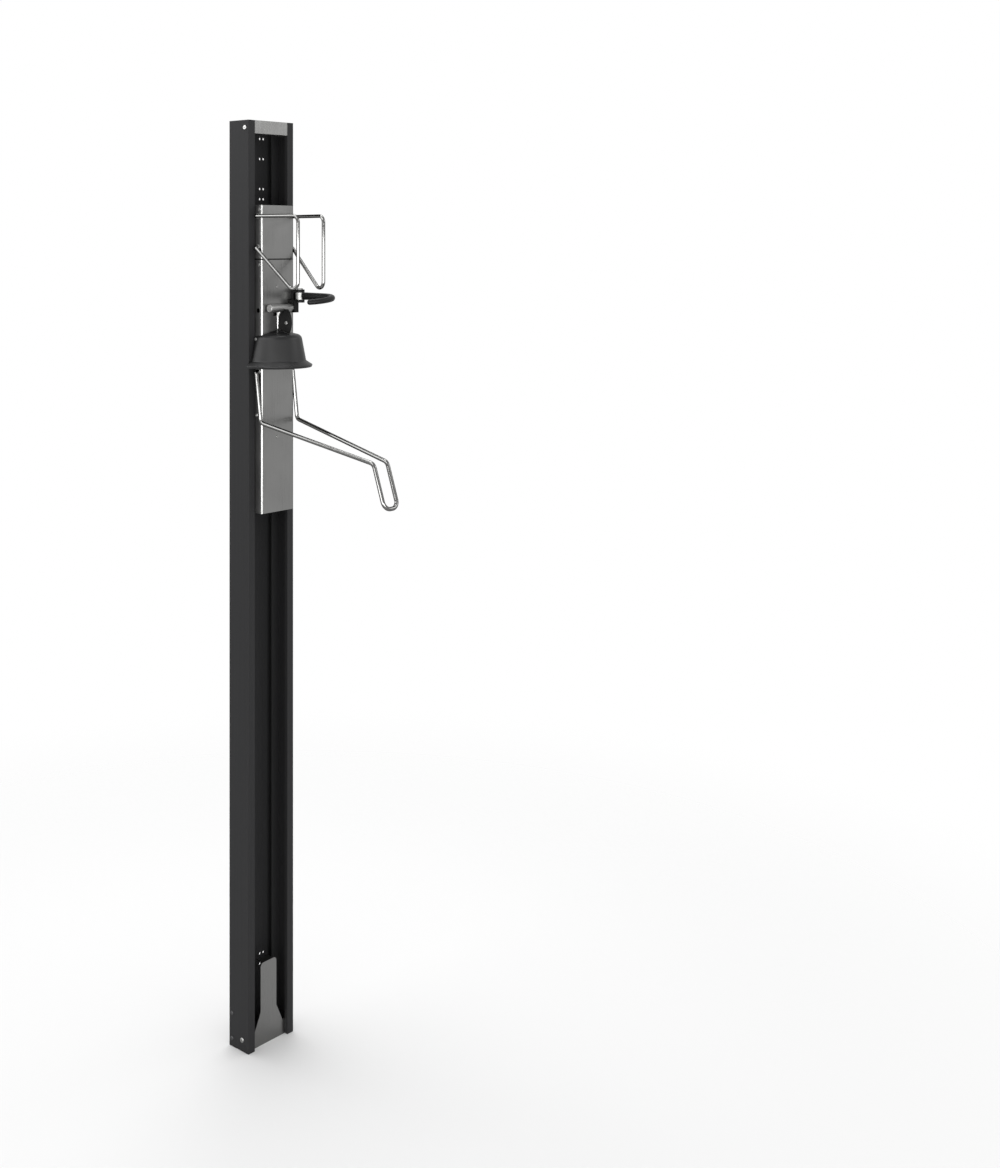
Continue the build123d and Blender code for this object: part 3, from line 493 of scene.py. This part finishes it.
# --------------------------------------------------------------------------
# Finishes
# --------------------------------------------------------------------------
@dataclass(frozen=True)
class PowderCoat:
    """Extruded aluminium under a baked polyester powder coat.

    The film is satin and slightly pebbled, and the long lines of the extrusion
    die still show faintly through it.
    """

    name: str = "powder_coated_aluminium"
    colour: str = "#333334"
    tone_spread: float = 0.08
    roughness: float = 0.58
    roughness_spread: float = 0.04
    gloss_level: float = 0.07
    peel_mm: float = 2.2
    peel_height_mm: float = 0.02
    peel_strength: float = 0.35
    speck_mm: float = 0.7
    # Real die lines lie about 0.5 mm apart. They are drawn coarser so that they show.
    die_line_mm: Point = (2.4, 2.4, 400.0)

    def build(self) -> Material:
        """Make the material: satin film, orange peel, die lines and a cloud in the gloss.

        Returns:
            The finished material.
        """
        material, tree, surface = new_material(self.name)
        place = object_place(tree)
        peel = noise(tree, place, cycles_per_metre(self.peel_mm), 2.0)
        speck = noise(tree, place, cycles_per_metre(self.speck_mm), 3.0)
        die_lines = noise(tree, stretch(tree, place, self.die_line_mm), 1.0, 2.0)
        mixed = combine(tree, speck, die_lines, "ADD")
        tone = remap(tree, mixed, SUM_SPAN, around(1.0, self.tone_spread))
        rough = remap(tree, peel, NOISE_SPAN, around(self.roughness, self.roughness_spread))
        inputs = {
            "Base Color": toned(tree, self.colour, tone),
            "Roughness": rough,
            "Specular IOR Level": self.gloss_level,
            "Normal": relief(tree, peel, self.peel_strength, self.peel_height_mm),
        }
        finish_surface(tree, surface, inputs)
        return material


@dataclass(frozen=True)
class BrushedSheet:
    """Stainless sheet ground with a belt, its grain upright.

    The grain spreads reflections sideways, so flat faces look even and grey
    while a fold catches one bright line.
    """

    name: str = "brushed_stainless_sheet"
    colour: str = "#767675"
    tone_spread: float = 0.04
    roughness: float = 0.3
    roughness_spread: float = 0.04
    anisotropy: float = 0.3
    # Belt marks are about 0.1 mm wide. They are drawn coarser so that they show.
    grain_mm: Point = (0.8, 0.8, 60.0)
    grain_height_mm: float = 0.004
    grain_strength: float = 0.12
    cloud_mm: float = 70.0

    def build(self) -> Material:
        """Make the material: metal with long fine grain in its gloss, tone and bump.

        Returns:
            The finished material.
        """
        material, tree, surface = new_material(self.name)
        place = object_place(tree)
        grain = noise(tree, stretch(tree, place, self.grain_mm), 1.0, 4.0)
        cloud = noise(tree, place, cycles_per_metre(self.cloud_mm), 2.0)
        mixed = combine(tree, grain, cloud, "ADD")
        tone = remap(tree, mixed, SUM_SPAN, around(1.0, self.tone_spread))
        rough = remap(tree, mixed, SUM_SPAN, around(self.roughness, self.roughness_spread))
        inputs = {
            "Base Color": toned(tree, self.colour, tone),
            "Metallic": 1.0,
            "Roughness": rough,
            "Anisotropic": self.anisotropy,
            "Normal": relief(tree, grain, self.grain_strength, self.grain_height_mm),
        }
        finish_surface(tree, surface, inputs)
        return material


@dataclass(frozen=True)
class WorkedSteel:
    """Steel that was drawn, plated or blackened: an even skin with small marks in its gloss.

    A low edge tint darkens the metal at grazing angles: a painted dark reflection,
    like the dark room that polished wire mirrors beside its lamps.
    """

    name: str
    colour: str
    roughness: float
    roughness_dip: float = 0.03
    roughness_rise: float = 0.05
    # Handling marks are about 0.3 mm wide. They are drawn coarser so that they show.
    mark_mm: float = 1.1
    mark_height_mm: float = 0.004
    mark_strength: float = 0.2
    tone_spread: float = 0.05
    # Below one, this paints a dark reflection on the metal's edges at grazing angles.
    painted_edge_reflection_tint: float = 1.0

    def build(self) -> Material:
        """Make the material: metal with a slight wander in its tone and gloss.

        Returns:
            The finished material.
        """
        material, tree, surface = new_material(self.name)
        marks = noise(tree, object_place(tree), cycles_per_metre(self.mark_mm), 3.0)
        tone = remap(tree, marks, NOISE_SPAN, around(1.0, self.tone_spread))
        gloss_span = (self.roughness - self.roughness_dip, self.roughness + self.roughness_rise)
        inputs = {
            "Base Color": toned(tree, self.colour, tone),
            "Metallic": 1.0,
            "Roughness": remap(tree, marks, NOISE_SPAN, gloss_span),
            # The edge tint paints a dark reflection where the metal is seen at grazing angles.
            "Specular Tint": (self.painted_edge_reflection_tint, self.painted_edge_reflection_tint, self.painted_edge_reflection_tint, 1.0),
            "Normal": relief(tree, marks, self.mark_strength, self.mark_height_mm),
        }
        finish_surface(tree, surface, inputs)
        return material


@dataclass(frozen=True)
class MouldedPolymer:
    """Moulded polymer or rubber with the spark-eroded grain of its mould.

    The grain breaks up highlights, so the piece looks soft and dark.
    """

    name: str
    colour: str
    roughness: float
    roughness_spread: float = 0.04
    gloss_level: float = 0.35
    tone_spread: float = 0.08
    # The real grain is about 0.2 mm. It is drawn coarser so that it shows.
    grain_mm: float = 1.2
    grain_height_mm: float = 0.025
    grain_strength: float = 0.3
    flow_mm: float = 30.0

    def build(self) -> Material:
        """Make the material: dark polymer with a fine even grain and faint flow clouds.

        Returns:
            The finished material.
        """
        material, tree, surface = new_material(self.name)
        place = object_place(tree)
        cells = {"Vector": place, "Scale": cycles_per_metre(self.grain_mm)}
        grain = add_node(tree, "ShaderNodeTexVoronoi", cells).outputs["Distance"]
        flow = noise(tree, place, cycles_per_metre(self.flow_mm), 3.0)
        tone = remap(tree, flow, NOISE_SPAN, around(1.0, self.tone_spread))
        rough = remap(tree, flow, NOISE_SPAN, around(self.roughness, self.roughness_spread))
        inputs = {
            "Base Color": toned(tree, self.colour, tone),
            "Roughness": rough,
            "Specular IOR Level": self.gloss_level,
            "Normal": relief(tree, grain, self.grain_strength, self.grain_height_mm),
        }
        finish_surface(tree, surface, inputs)
        return material


@dataclass(frozen=True)
class FinishSet:
    """Every finish of the rack, built once."""

    coat: Material = field(default_factory=PowderCoat().build)
    sheet: Material = field(default_factory=BrushedSheet().build)
    # Polished wire is almost a mirror: a bright line between dark edges, the edges a painted dark
    # reflection from its low edge tint.
    wire: Material = field(
        default_factory=WorkedSteel(
            "polished_steel_wire", "#6b6b6a", 0.12, mark_mm=6.0, mark_strength=0.05, painted_edge_reflection_tint=0.05
        ).build
    )
    # A weld ground back to bare steel is the brightest metal here.
    ground: Material = field(
        default_factory=WorkedSteel("ground_weld_steel", "#c4c4c2", 0.3, mark_mm=2.0).build
    )
    # Zinc plating is softer than the wire, with a faint crystal mottle.
    zinc: Material = field(
        default_factory=WorkedSteel("zinc_plated_steel", "#757574", 0.42, tone_spread=0.1).build
    )
    # Countersunk fixings carry dark zinc and hardly stand out from the coat.
    dark_zinc: Material = field(
        default_factory=WorkedSteel("dark_zinc_steel", "#4d4d4e", 0.4).build
    )
    # Button heads are passivated brighter than the pressed parts.
    head: Material = field(
        default_factory=WorkedSteel("passivated_screw_steel", "#8f8f8e", 0.3).build
    )
    # The chassis carries a black electrocoat, and its black also stands in as painted shade in the
    # seam between the covers.
    black: Material = field(
        default_factory=MouldedPolymer(
            "electrocoated_steel", "#060606", 0.5, gloss_level=0.12
        ).build
    )
    # Black oxide leaves the rod dark but still shining like metal.
    oxide: Material = field(
        default_factory=WorkedSteel("black_oxide_steel", "#1c1c1d", 0.38).build
    )
    # The hood's mould grain turns the lamps above it into one soft sheen.
    hood: Material = field(
        default_factory=MouldedPolymer("moulded_abs", "#0c0c0d", 0.46, gloss_level=0.24).build
    )
    # Rubber is duller than the hood, so the sleeve shows only a faint top light.
    rubber: Material = field(
        default_factory=MouldedPolymer("moulded_rubber", "#0d0d0e", 0.5, gloss_level=0.14).build
    )
    # Nylon shoes are a shade lighter and waxier than the parts round them.
    nylon: Material = field(
        default_factory=MouldedPolymer("moulded_nylon", "#191919", 0.5).build
    )


# --------------------------------------------------------------------------
# Rail and its spring
# --------------------------------------------------------------------------
@dataclass
class WallRail:
    """Coated rail with its sheet ends, their screws and the spring's anchor."""

    finishes: FinishSet

    def build(self) -> None:
        """Dress the rail, the cap, the foot plate and the fixings."""
        dress(self.finishes.coat, "wall_rail")
        dress(self.finishes.sheet, "top_cap", "foot_plate")
        dress(self.finishes.head, "cap_screws", "foot_screws")
        dress(self.finishes.zinc, "anchor_pin")
        dress(self.finishes.dark_zinc, "anchor_screws")
        dress(self.finishes.black, "spring_anchor")


@dataclass
class GasSpring:
    """Tube, rod and fittings of the spring that balances the load."""

    finishes: FinishSet

    def build(self) -> None:
        """Dress the spring."""
        dress(self.finishes.black, "spring_cylinder", "cylinder_end", "rod_guide", "piston")
        dress(self.finishes.oxide, "piston_rod")
        dress(self.finishes.zinc, "rod_nut")


# --------------------------------------------------------------------------
# Carriage
# --------------------------------------------------------------------------
@dataclass
class CarriageBox:
    """Chassis, covers, glide shoes and the small hardware that holds them."""

    finishes: FinishSet

    def build(self) -> None:
        """Dress the covers, the chassis and the shoes."""
        dress(self.finishes.sheet, "upper_cover", "lower_cover")
        # The black chassis is also painted shade in the seam between the covers.
        dress(self.finishes.black, "carriage_frame", "spring_bridge")
        dress(self.finishes.zinc, "cover_rivets", "shoe_screws", "shoe_nuts")
        dress(self.finishes.head, "cover_screws")
        for side in Side:
            name = side.name.lower()
            dress(self.finishes.nylon, f"glide_shoe_upper_{name}", f"glide_shoe_lower_{name}")


@dataclass
class WheelHoops:
    """Two bent wire hoops that lean in to the tyre's width."""

    finishes: FinishSet
    wire_r_mm: float = 3.5
    end_mm: Point = (36.0, -65.7, 730.0)
    bend_x_mm: float = 48.7
    front_x_mm: float = 34.0
    front_y_mm: float = -172.5
    dip_z_mm: float = 572.5
    low_z_mm: float = 669.0
    rounds_mm: tuple[float, ...] = (4.0, 13.0, 13.0, 4.0)

    def route(self, side: Side) -> list[Vector]:
        """Lay out the rounded run of one hoop, from its upper end to its lower end.

        Args:
            side: Side of the rack that the hoop stands on.

        Returns:
            Points along the middle of the wire, in metres.
        """
        end_x, end_y, top_z = self.end_mm
        corners = [
            (end_x, end_y, top_z),
            (self.bend_x_mm, end_y, top_z),
            (self.front_x_mm, self.front_y_mm, top_z),
            (self.front_x_mm, self.front_y_mm, self.dip_z_mm),
            (self.bend_x_mm, end_y, self.low_z_mm),
            (end_x, end_y, self.low_z_mm),
        ]
        placed = [(side.value * x, y, z) for x, y, z in corners]
        return rounded_path(placed, list(self.rounds_mm))

    def build(self) -> None:
        """Sweep both hoops and dress their collars."""
        for side in Side:
            name = f"hoop_{side.name.lower()}"
            mesh = bmesh.new()
            path = self.route(side)
            sweep_round(mesh, path, [self.wire_r_mm * MM] * len(path))
            wire = self.finishes.wire
            piece = make_piece(f"{name}_wire", mesh, wire, Body.CARRIAGE, Slot.BRIGHT_WIRE)
            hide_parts(name)
        dress(self.finishes.zinc, "hoop_collars")


@dataclass
class Cradle:
    """One bent wire that holds the wheel from below and is the handle for pulling down."""

    finishes: FinishSet
    wire_r_mm: float = 4.0
    half_run_mm: tuple[Point, ...] = (
        (36.0, -68.0, 424.0),
        (48.6, -68.0, 424.0),
        (48.6, -81.5, 324.0),
        (18.0, -360.0, 267.0),
        (18.0, -388.0, 185.0),
    )
    half_rounds_mm: tuple[float, ...] = (4.6, 10.0, 14.0, 15.0)
    bend_steps: int = 14
    sides: int = 28

    def build(self) -> None:
        """Sweep the cradle and dress its collars."""
        mirrored = [(-x, y, z) for x, y, z in reversed(self.half_run_mm)]
        corners = [*self.half_run_mm, *mirrored]
        rounds = [*self.half_rounds_mm, *reversed(self.half_rounds_mm)]
        path = rounded_path(corners, rounds, steps=self.bend_steps)
        mesh = bmesh.new()
        sweep_round(mesh, path, [self.wire_r_mm * MM] * len(path), sides=self.sides)
        wire = self.finishes.wire
        piece = make_piece("cradle_bent_wire", mesh, wire, Body.CARRIAGE, Slot.BRIGHT_WIRE)
        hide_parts("cradle_wire")
        dress(self.finishes.zinc, "cradle_collars")


@dataclass
class Hood:
    """Moulded half-funnel round the cover, with a flared mouth."""

    finishes: FinishSet
    axis_y_mm: float = -77.0
    rear_y_mm: float = -60.0
    cover_half_mm: float = 42.0
    top_z_mm: float = 505.0
    # Each corner is (radius, drop below the top, rounding).
    skin_mm: tuple[Point, ...] = (
        (0.0, 0.0, 0.0),
        (47.0, 10.5, 12.0),
        (56.4, 61.0, 4.0),
        (69.2, 69.5, 1.6),
        (67.4, 74.0, 0.9),
        (65.0, 74.0, 0.9),
        (53.4, 63.4, 3.0),
        (44.6, 13.0, 3.0),
        (0.0, 3.0, 0.0),
    )
    pad_z_mm: tuple[float, float] = (482.0, 492.0)
    pad_depth_mm: float = 8.0
    pad_reach_mm: float = 4.0
    bend_steps: int = 6

    def shell(self) -> BMesh:
        """Turn the wall's profile about the hood's axis.

        Returns:
            The whole funnel, before the plane cuts.
        """
        corners = [(radius, 0.0, self.top_z_mm - drop) for radius, drop, _ in self.skin_mm]
        rounds = [bend for _, _, bend in self.skin_mm[1:-1]]
        return revolve(rounded_path(corners, rounds, steps=self.bend_steps), self.axis_y_mm * MM)

    def add_part(self, mesh: BMesh, part: BMesh) -> None:
        """Move one cut part into the hood's mesh.

        Args:
            mesh: Mesh of the whole hood.
            part: Cut part, which is freed here.
        """
        data = bpy.data.meshes.new("hood_part")
        part.to_mesh(data)
        part.free()
        mesh.from_mesh(data)
        bpy.data.meshes.remove(data)

    def build(self) -> None:
        """Join the front of the shell with its two wings, cap the rear edges and add the pads."""
        mesh = bmesh.new()
        front = self.shell()
        keep_side(front, 1, self.axis_y_mm * MM, True)
        self.add_part(mesh, front)
        for side in Side:
            wing = self.shell()
            keep_side(wing, 1, self.axis_y_mm * MM, False)
            keep_side(wing, 1, self.rear_y_mm * MM, True)
            keep_side(wing, 0, side.value * self.cover_half_mm * MM, side is Side.LEFT)
            self.add_part(mesh, wing)
        bmesh.ops.remove_doubles(mesh, verts=mesh.verts, dist=WELD_DISTANCE)
        for side in Side:
            cap_cut(mesh, 1, self.rear_y_mm * MM, side)
            self.add_pad(mesh, side)
        piece = make_piece("hood_moulding", mesh, self.finishes.hood, Body.CARRIAGE, Slot.MOULDING)
        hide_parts("hood")
        dress(self.finishes.zinc, "hood_screws")

    def add_pad(self, mesh: BMesh, side: Side) -> None:
        """Add the block that the side screw clamps against the cover.

        Args:
            mesh: Mesh of the hood.
            side: Side of the rack that the block stands on.
        """
        low, high = self.pad_z_mm
        size = Vector((self.pad_reach_mm, self.pad_depth_mm, high - low)) * MM
        middle = Vector(
            (
                side.value * (self.cover_half_mm + self.pad_reach_mm / 2),
                self.rear_y_mm - self.pad_depth_mm / 2,
                (low + high) / 2,
            )
        )
        matrix = Matrix.Translation(middle * MM) @ Matrix.Diagonal(size).to_4x4()
        bmesh.ops.create_cube(mesh, size=1.0, matrix=matrix)


# --------------------------------------------------------------------------
# Hook and its mount
# --------------------------------------------------------------------------
@dataclass
class HookMount:
    """Cheek plate, crossbar and knuckle that carry the hook's pivot."""

    finishes: FinishSet
    cover_y_mm: float = -76.9
    # Each row is (height, leg on the cover, leg on the plate) of a ground fillet weld.
    bead_mm: tuple[Point, ...] = (
        (506.0, 0.4, 0.4),
        (508.5, 1.0, 1.0),
        (525.0, 1.1, 1.2),
        (529.0, 1.6, 2.2),
        (533.0, 2.4, 4.0),
        (537.0, 3.2, 6.2),
        (540.5, 3.8, 8.0),
    )
    crown: float = 0.58
    # How far the weld runs into the plate and the cover.
    fusion_mm: float = 0.3

    def bead(self) -> BMesh:
        """Loft the weld bead, which widens into a fan under the crossbar.

        Returns:
            The closed bead.
        """
        mesh = bmesh.new()
        rings = []
        for height, on_cover, on_plate in self.bead_mm:
            outline = [
                (self.fusion_mm, self.cover_y_mm + self.fusion_mm),
                (-on_cover, self.cover_y_mm + self.fusion_mm),
                (-on_cover, self.cover_y_mm),
                (-on_cover * self.crown, self.cover_y_mm - on_plate * self.crown),
                (0.0, self.cover_y_mm - on_plate),
                (self.fusion_mm, self.cover_y_mm - on_plate),
            ]
            rings.append([mesh.verts.new(Vector((x, y, height)) * MM) for x, y in outline])
        for low, high in zip(rings, rings[1:]):
            for index, corner in enumerate(low):
                after = (index + 1) % len(low)
                mesh.faces.new((corner, low[after], high[after], high[index]))
        mesh.faces.new(list(reversed(rings[0])))
        mesh.faces.new(rings[-1])
        return mesh

    def build(self) -> None:
        """Dress the mount and lay the weld bead between its plate and the cover."""
        dress(self.finishes.black, "hook_bracket", "hook_knuckle")
        dress(self.finishes.zinc, "hook_crossbar", "hook_pin", "bracket_bolt", "bracket_nut")
        bare = self.finishes.ground
        make_piece("bracket_weld_bead", self.bead(), bare, Body.CARRIAGE, Slot.PLATED)


@dataclass
class Hook:
    """Steel core with a moulded rubber sleeve that tapers to a round tip."""

    finishes: FinishSet
    arm_x_mm: float = 46.0
    start_y_mm: float = -107.0
    loop_y_mm: float = -165.0
    level_mm: float = 571.0
    tilt_deg: float = 5.9
    wrap_deg: float = 130.0
    root_r_mm: float = 7.6
    tip_r_mm: float = 5.2
    seam_mm: float = 0.25
    sides: int = 32
    arm_steps: int = 6
    wrap_steps: int = 40
    tip_steps: int = 8
    # The mould seam ends this many rings before the tip.
    seam_end_rings: int = 6

    def route(self) -> list[Vector]:
        """Lay out the sleeve's middle line: straight arm, then the arc round the wheel's rim.

        Returns:
            Points of the line, in metres.
        """
        run = self.loop_y_mm - self.start_y_mm
        flat = [
            Vector((0.0, self.start_y_mm + run * step / self.arm_steps, 0.0))
            for step in range(self.arm_steps)
        ]
        for step in range(self.wrap_steps + 1):
            turn = math.radians(self.wrap_deg) * step / self.wrap_steps
            x = self.arm_x_mm * (math.cos(turn) - 1)
            y = self.loop_y_mm - self.arm_x_mm * math.sin(turn)
            flat.append(Vector((x, y, 0.0)))
        tilt = Matrix.Rotation(math.radians(-self.tilt_deg), 3, "Y")
        base = Vector((self.arm_x_mm, 0.0, self.level_mm))
        return [(base + tilt @ point) * MM for point in flat]

    def build(self) -> None:
        """Sweep the sleeve with its taper, round its tip and raise the mould seam."""
        path = self.route()
        lengths = [0.0]
        for near, far in zip(path, path[1:]):
            lengths.append(lengths[-1] + (far - near).length)
        taper = self.tip_r_mm - self.root_r_mm
        radii = [(self.root_r_mm + taper * length / lengths[-1]) * MM for length in lengths]
        ahead = (path[-1] - path[-2]).normalized()
        tip = path[-1]
        for step in range(1, self.tip_steps):
            turn = math.radians(90) * step / self.tip_steps
            path.append(tip + ahead * self.tip_r_mm * MM * math.sin(turn))
            radii.append(self.tip_r_mm * MM * math.cos(turn))
        mesh = bmesh.new()
        rings = sweep_round(mesh, path, radii, sides=self.sides)
        for ring, point in zip(rings[: -self.seam_end_rings], path):
            for index in (0, self.sides // 2):
                out = (ring[index].co - point).normalized()
                ring[index].co += out * self.seam_mm * MM
        rubber = self.finishes.rubber
        piece = make_piece("hook_rubber_sleeve", mesh, rubber, Body.HOOK, Slot.RUBBER)
        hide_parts("hook_sleeve")
        dress(self.finishes.zinc, "hook_arm")


# --------------------------------------------------------------------------
# Studio
# --------------------------------------------------------------------------
@dataclass(frozen=True)
class SoftBox:
    """One large soft light, aimed at a point of the rack.

    A light for gloss only draws highlights on metal and leaves matt faces as they are.
    """

    name: str
    place: Point
    aim: Point
    size: tuple[float, float]
    radiance: float
    gloss_only: bool = False

    def build(self) -> None:
        """Hang the light."""
        lamp = bpy.data.lights.new(self.name, "AREA")
        lamp.shape = "RECTANGLE"
        lamp.size, lamp.size_y = self.size
        lamp.energy = self.radiance * math.pi * self.size[0] * self.size[1]
        holder = bpy.data.objects.new(self.name, lamp)
        holder.location = self.place
        holder.visible_diffuse = not self.gloss_only
        back = Vector(self.place) - Vector(self.aim)
        holder.rotation_euler = back.to_track_quat("Z", "Y").to_euler()
        bpy.context.scene.collection.objects.link(holder)


@dataclass
class Studio:
    """Pale floor that fades into white surroundings, soft lights and the camera."""

    floor_z: float
    floor_size: float = 7.0
    floor_colour: str = "#ebebeb"
    # The floor is whole up to the first distance and gone at the second.
    fade: Span = (0.7, 2.2)
    world_strength: float = 0.82
    lights: tuple[SoftBox, ...] = (
        # Two wide boxes draw the bright line down the cover's fold and the upright wires.
        SoftBox("key_softbox_left", (-3.1, -1.4, 0.15), (0.0, 0.0, 0.15), (2.9, 1.3), 12.0, True),
        SoftBox("key_softbox_right", (-1.2, -3.18, 0.15), (0.0, 0.0, 0.15), (3.0, 1.3), 10.0, True),
        # These two light the sloping and the level wires.
        SoftBox("high_softbox", (-2.45, -0.12, 2.7), (0.0, 0.0, 0.6), (2.0, 1.4), 6.0, True),
        SoftBox("rear_softbox", (-2.19, 2.04, 1.8), (0.0, 0.0, 0.4), (2.0, 2.1), 5.0, True),
        # The sheet covers mirror this one.
        SoftBox("fill_softbox", (2.1, -2.4, 2.0), (0.0, 0.0, 0.6), (2.0, 1.2), 5.0, True),
        # This one lights the hood from above and throws the shadow on the floor.
        SoftBox("top_softbox", (0.2, 0.5, 2.7), (0.0, 0.0, 0.5), (1.4, 1.4), 9.0),
    )
    camera_place: Point = (-2.0159, -2.2956, 0.6742)
    camera_turn_deg: float = -48.162
    lens_mm: float = 46.217
    sensor_mm: float = 36.0
    shift: Span = (0.0576, -0.2907)

    def build(self) -> None:
        """Make the floor, the surroundings, the lights and the camera."""
        self.build_floor()
        self.build_world()
        for light in self.lights:
            light.build()
        self.build_camera()

    def build_floor(self) -> None:
        """Lay a pale floor that keeps the object's shadow and fades out round it."""
        mesh = bmesh.new()
        bmesh.ops.create_grid(mesh, x_segments=1, y_segments=1, size=self.floor_size / 2)
        bmesh.ops.translate(mesh, verts=mesh.verts, vec=(0, 0, self.floor_z))
        data = bpy.data.meshes.new("studio_floor")
        mesh.to_mesh(data)
        mesh.free()
        floor = bpy.data.objects.new("studio_floor", data)
        bpy.context.scene.collection.objects.link(floor)
        material, tree, surface = new_material("studio_floor_paint")
        paint = add_node(tree, "ShaderNodeBsdfDiffuse", {"Color": linear(self.floor_colour)})
        flat = {0: object_place(tree), 1: (1.0, 1.0, 0.0)}
        level = add_node(tree, "ShaderNodeVectorMath", flat, operation="MULTIPLY").outputs["Vector"]
        away = add_node(tree, "ShaderNodeVectorMath", {0: level}, operation="LENGTH")
        gone = add_node(
            tree,
            "ShaderNodeMapRange",
            {"Value": away.outputs["Value"], "From Min": self.fade[0], "From Max": self.fade[1]},
            interpolation_type="SMOOTHSTEP",
        )
        clear = add_node(tree, "ShaderNodeBsdfTransparent")
        layers = {0: gone.outputs["Result"], 1: paint.outputs[0], 2: clear.outputs[0]}
        faded = add_node(tree, "ShaderNodeMixShader", layers)
        tree.links.new(faded.outputs[0], surface)
        data.materials.append(material)
        floor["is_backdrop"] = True

    def build_world(self) -> None:
        """Surround the object with even light that the camera, gloss and glass see as white."""
        world = bpy.data.worlds.new("studio_world")
        bpy.context.scene.world = world
        world.use_nodes = True
        tree = world.node_tree
        tree.nodes.clear()
        rays = add_node(tree, "ShaderNodeLightPath")
        camera_or_glass = combine(
            tree, rays.outputs["Is Camera Ray"], rays.outputs["Is Transmission Ray"], "MAXIMUM"
        )
        shown = combine(tree, camera_or_glass, rays.outputs["Is Glossy Ray"], "MAXIMUM")
        strength = remap(tree, shown, (0.0, 1.0), (self.world_strength, 1.0))
        sky = add_node(tree, "ShaderNodeBackground", {"Color": WHITE, "Strength": strength})
        add_node(tree, "ShaderNodeOutputWorld", {"Surface": sky.outputs[0]})

    def build_camera(self) -> None:
        """Place the level camera, which keeps uprights parallel with a shifted lens."""
        data = bpy.data.cameras.new("studio_camera")
        data.lens = self.lens_mm
        data.sensor_width = self.sensor_mm
        data.shift_x, data.shift_y = self.shift
        camera = bpy.data.objects.new("studio_camera", data)
        camera.location = self.camera_place
        camera.rotation_euler = (math.radians(90), 0, math.radians(self.camera_turn_deg))
        bpy.context.scene.collection.objects.link(camera)
        bpy.context.scene.camera = camera
        bpy.context.scene.view_settings.view_transform = "Standard"


def main() -> None:
    """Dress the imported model, build the finer pieces and set up the studio."""
    logging.basicConfig(level=logging.INFO, format="%(message)s")
    cad_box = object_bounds()
    finishes = FinishSet()
    assemblies = (WallRail, GasSpring, CarriageBox, WheelHoops, Cradle, Hood, HookMount, Hook)
    for assembly in assemblies:
        assembly(finishes).build()
        LOG.info("finished %s", assembly.__name__)
    Studio(floor_z=cad_box[0].z).build()


if __name__ == "__main__":
    main()
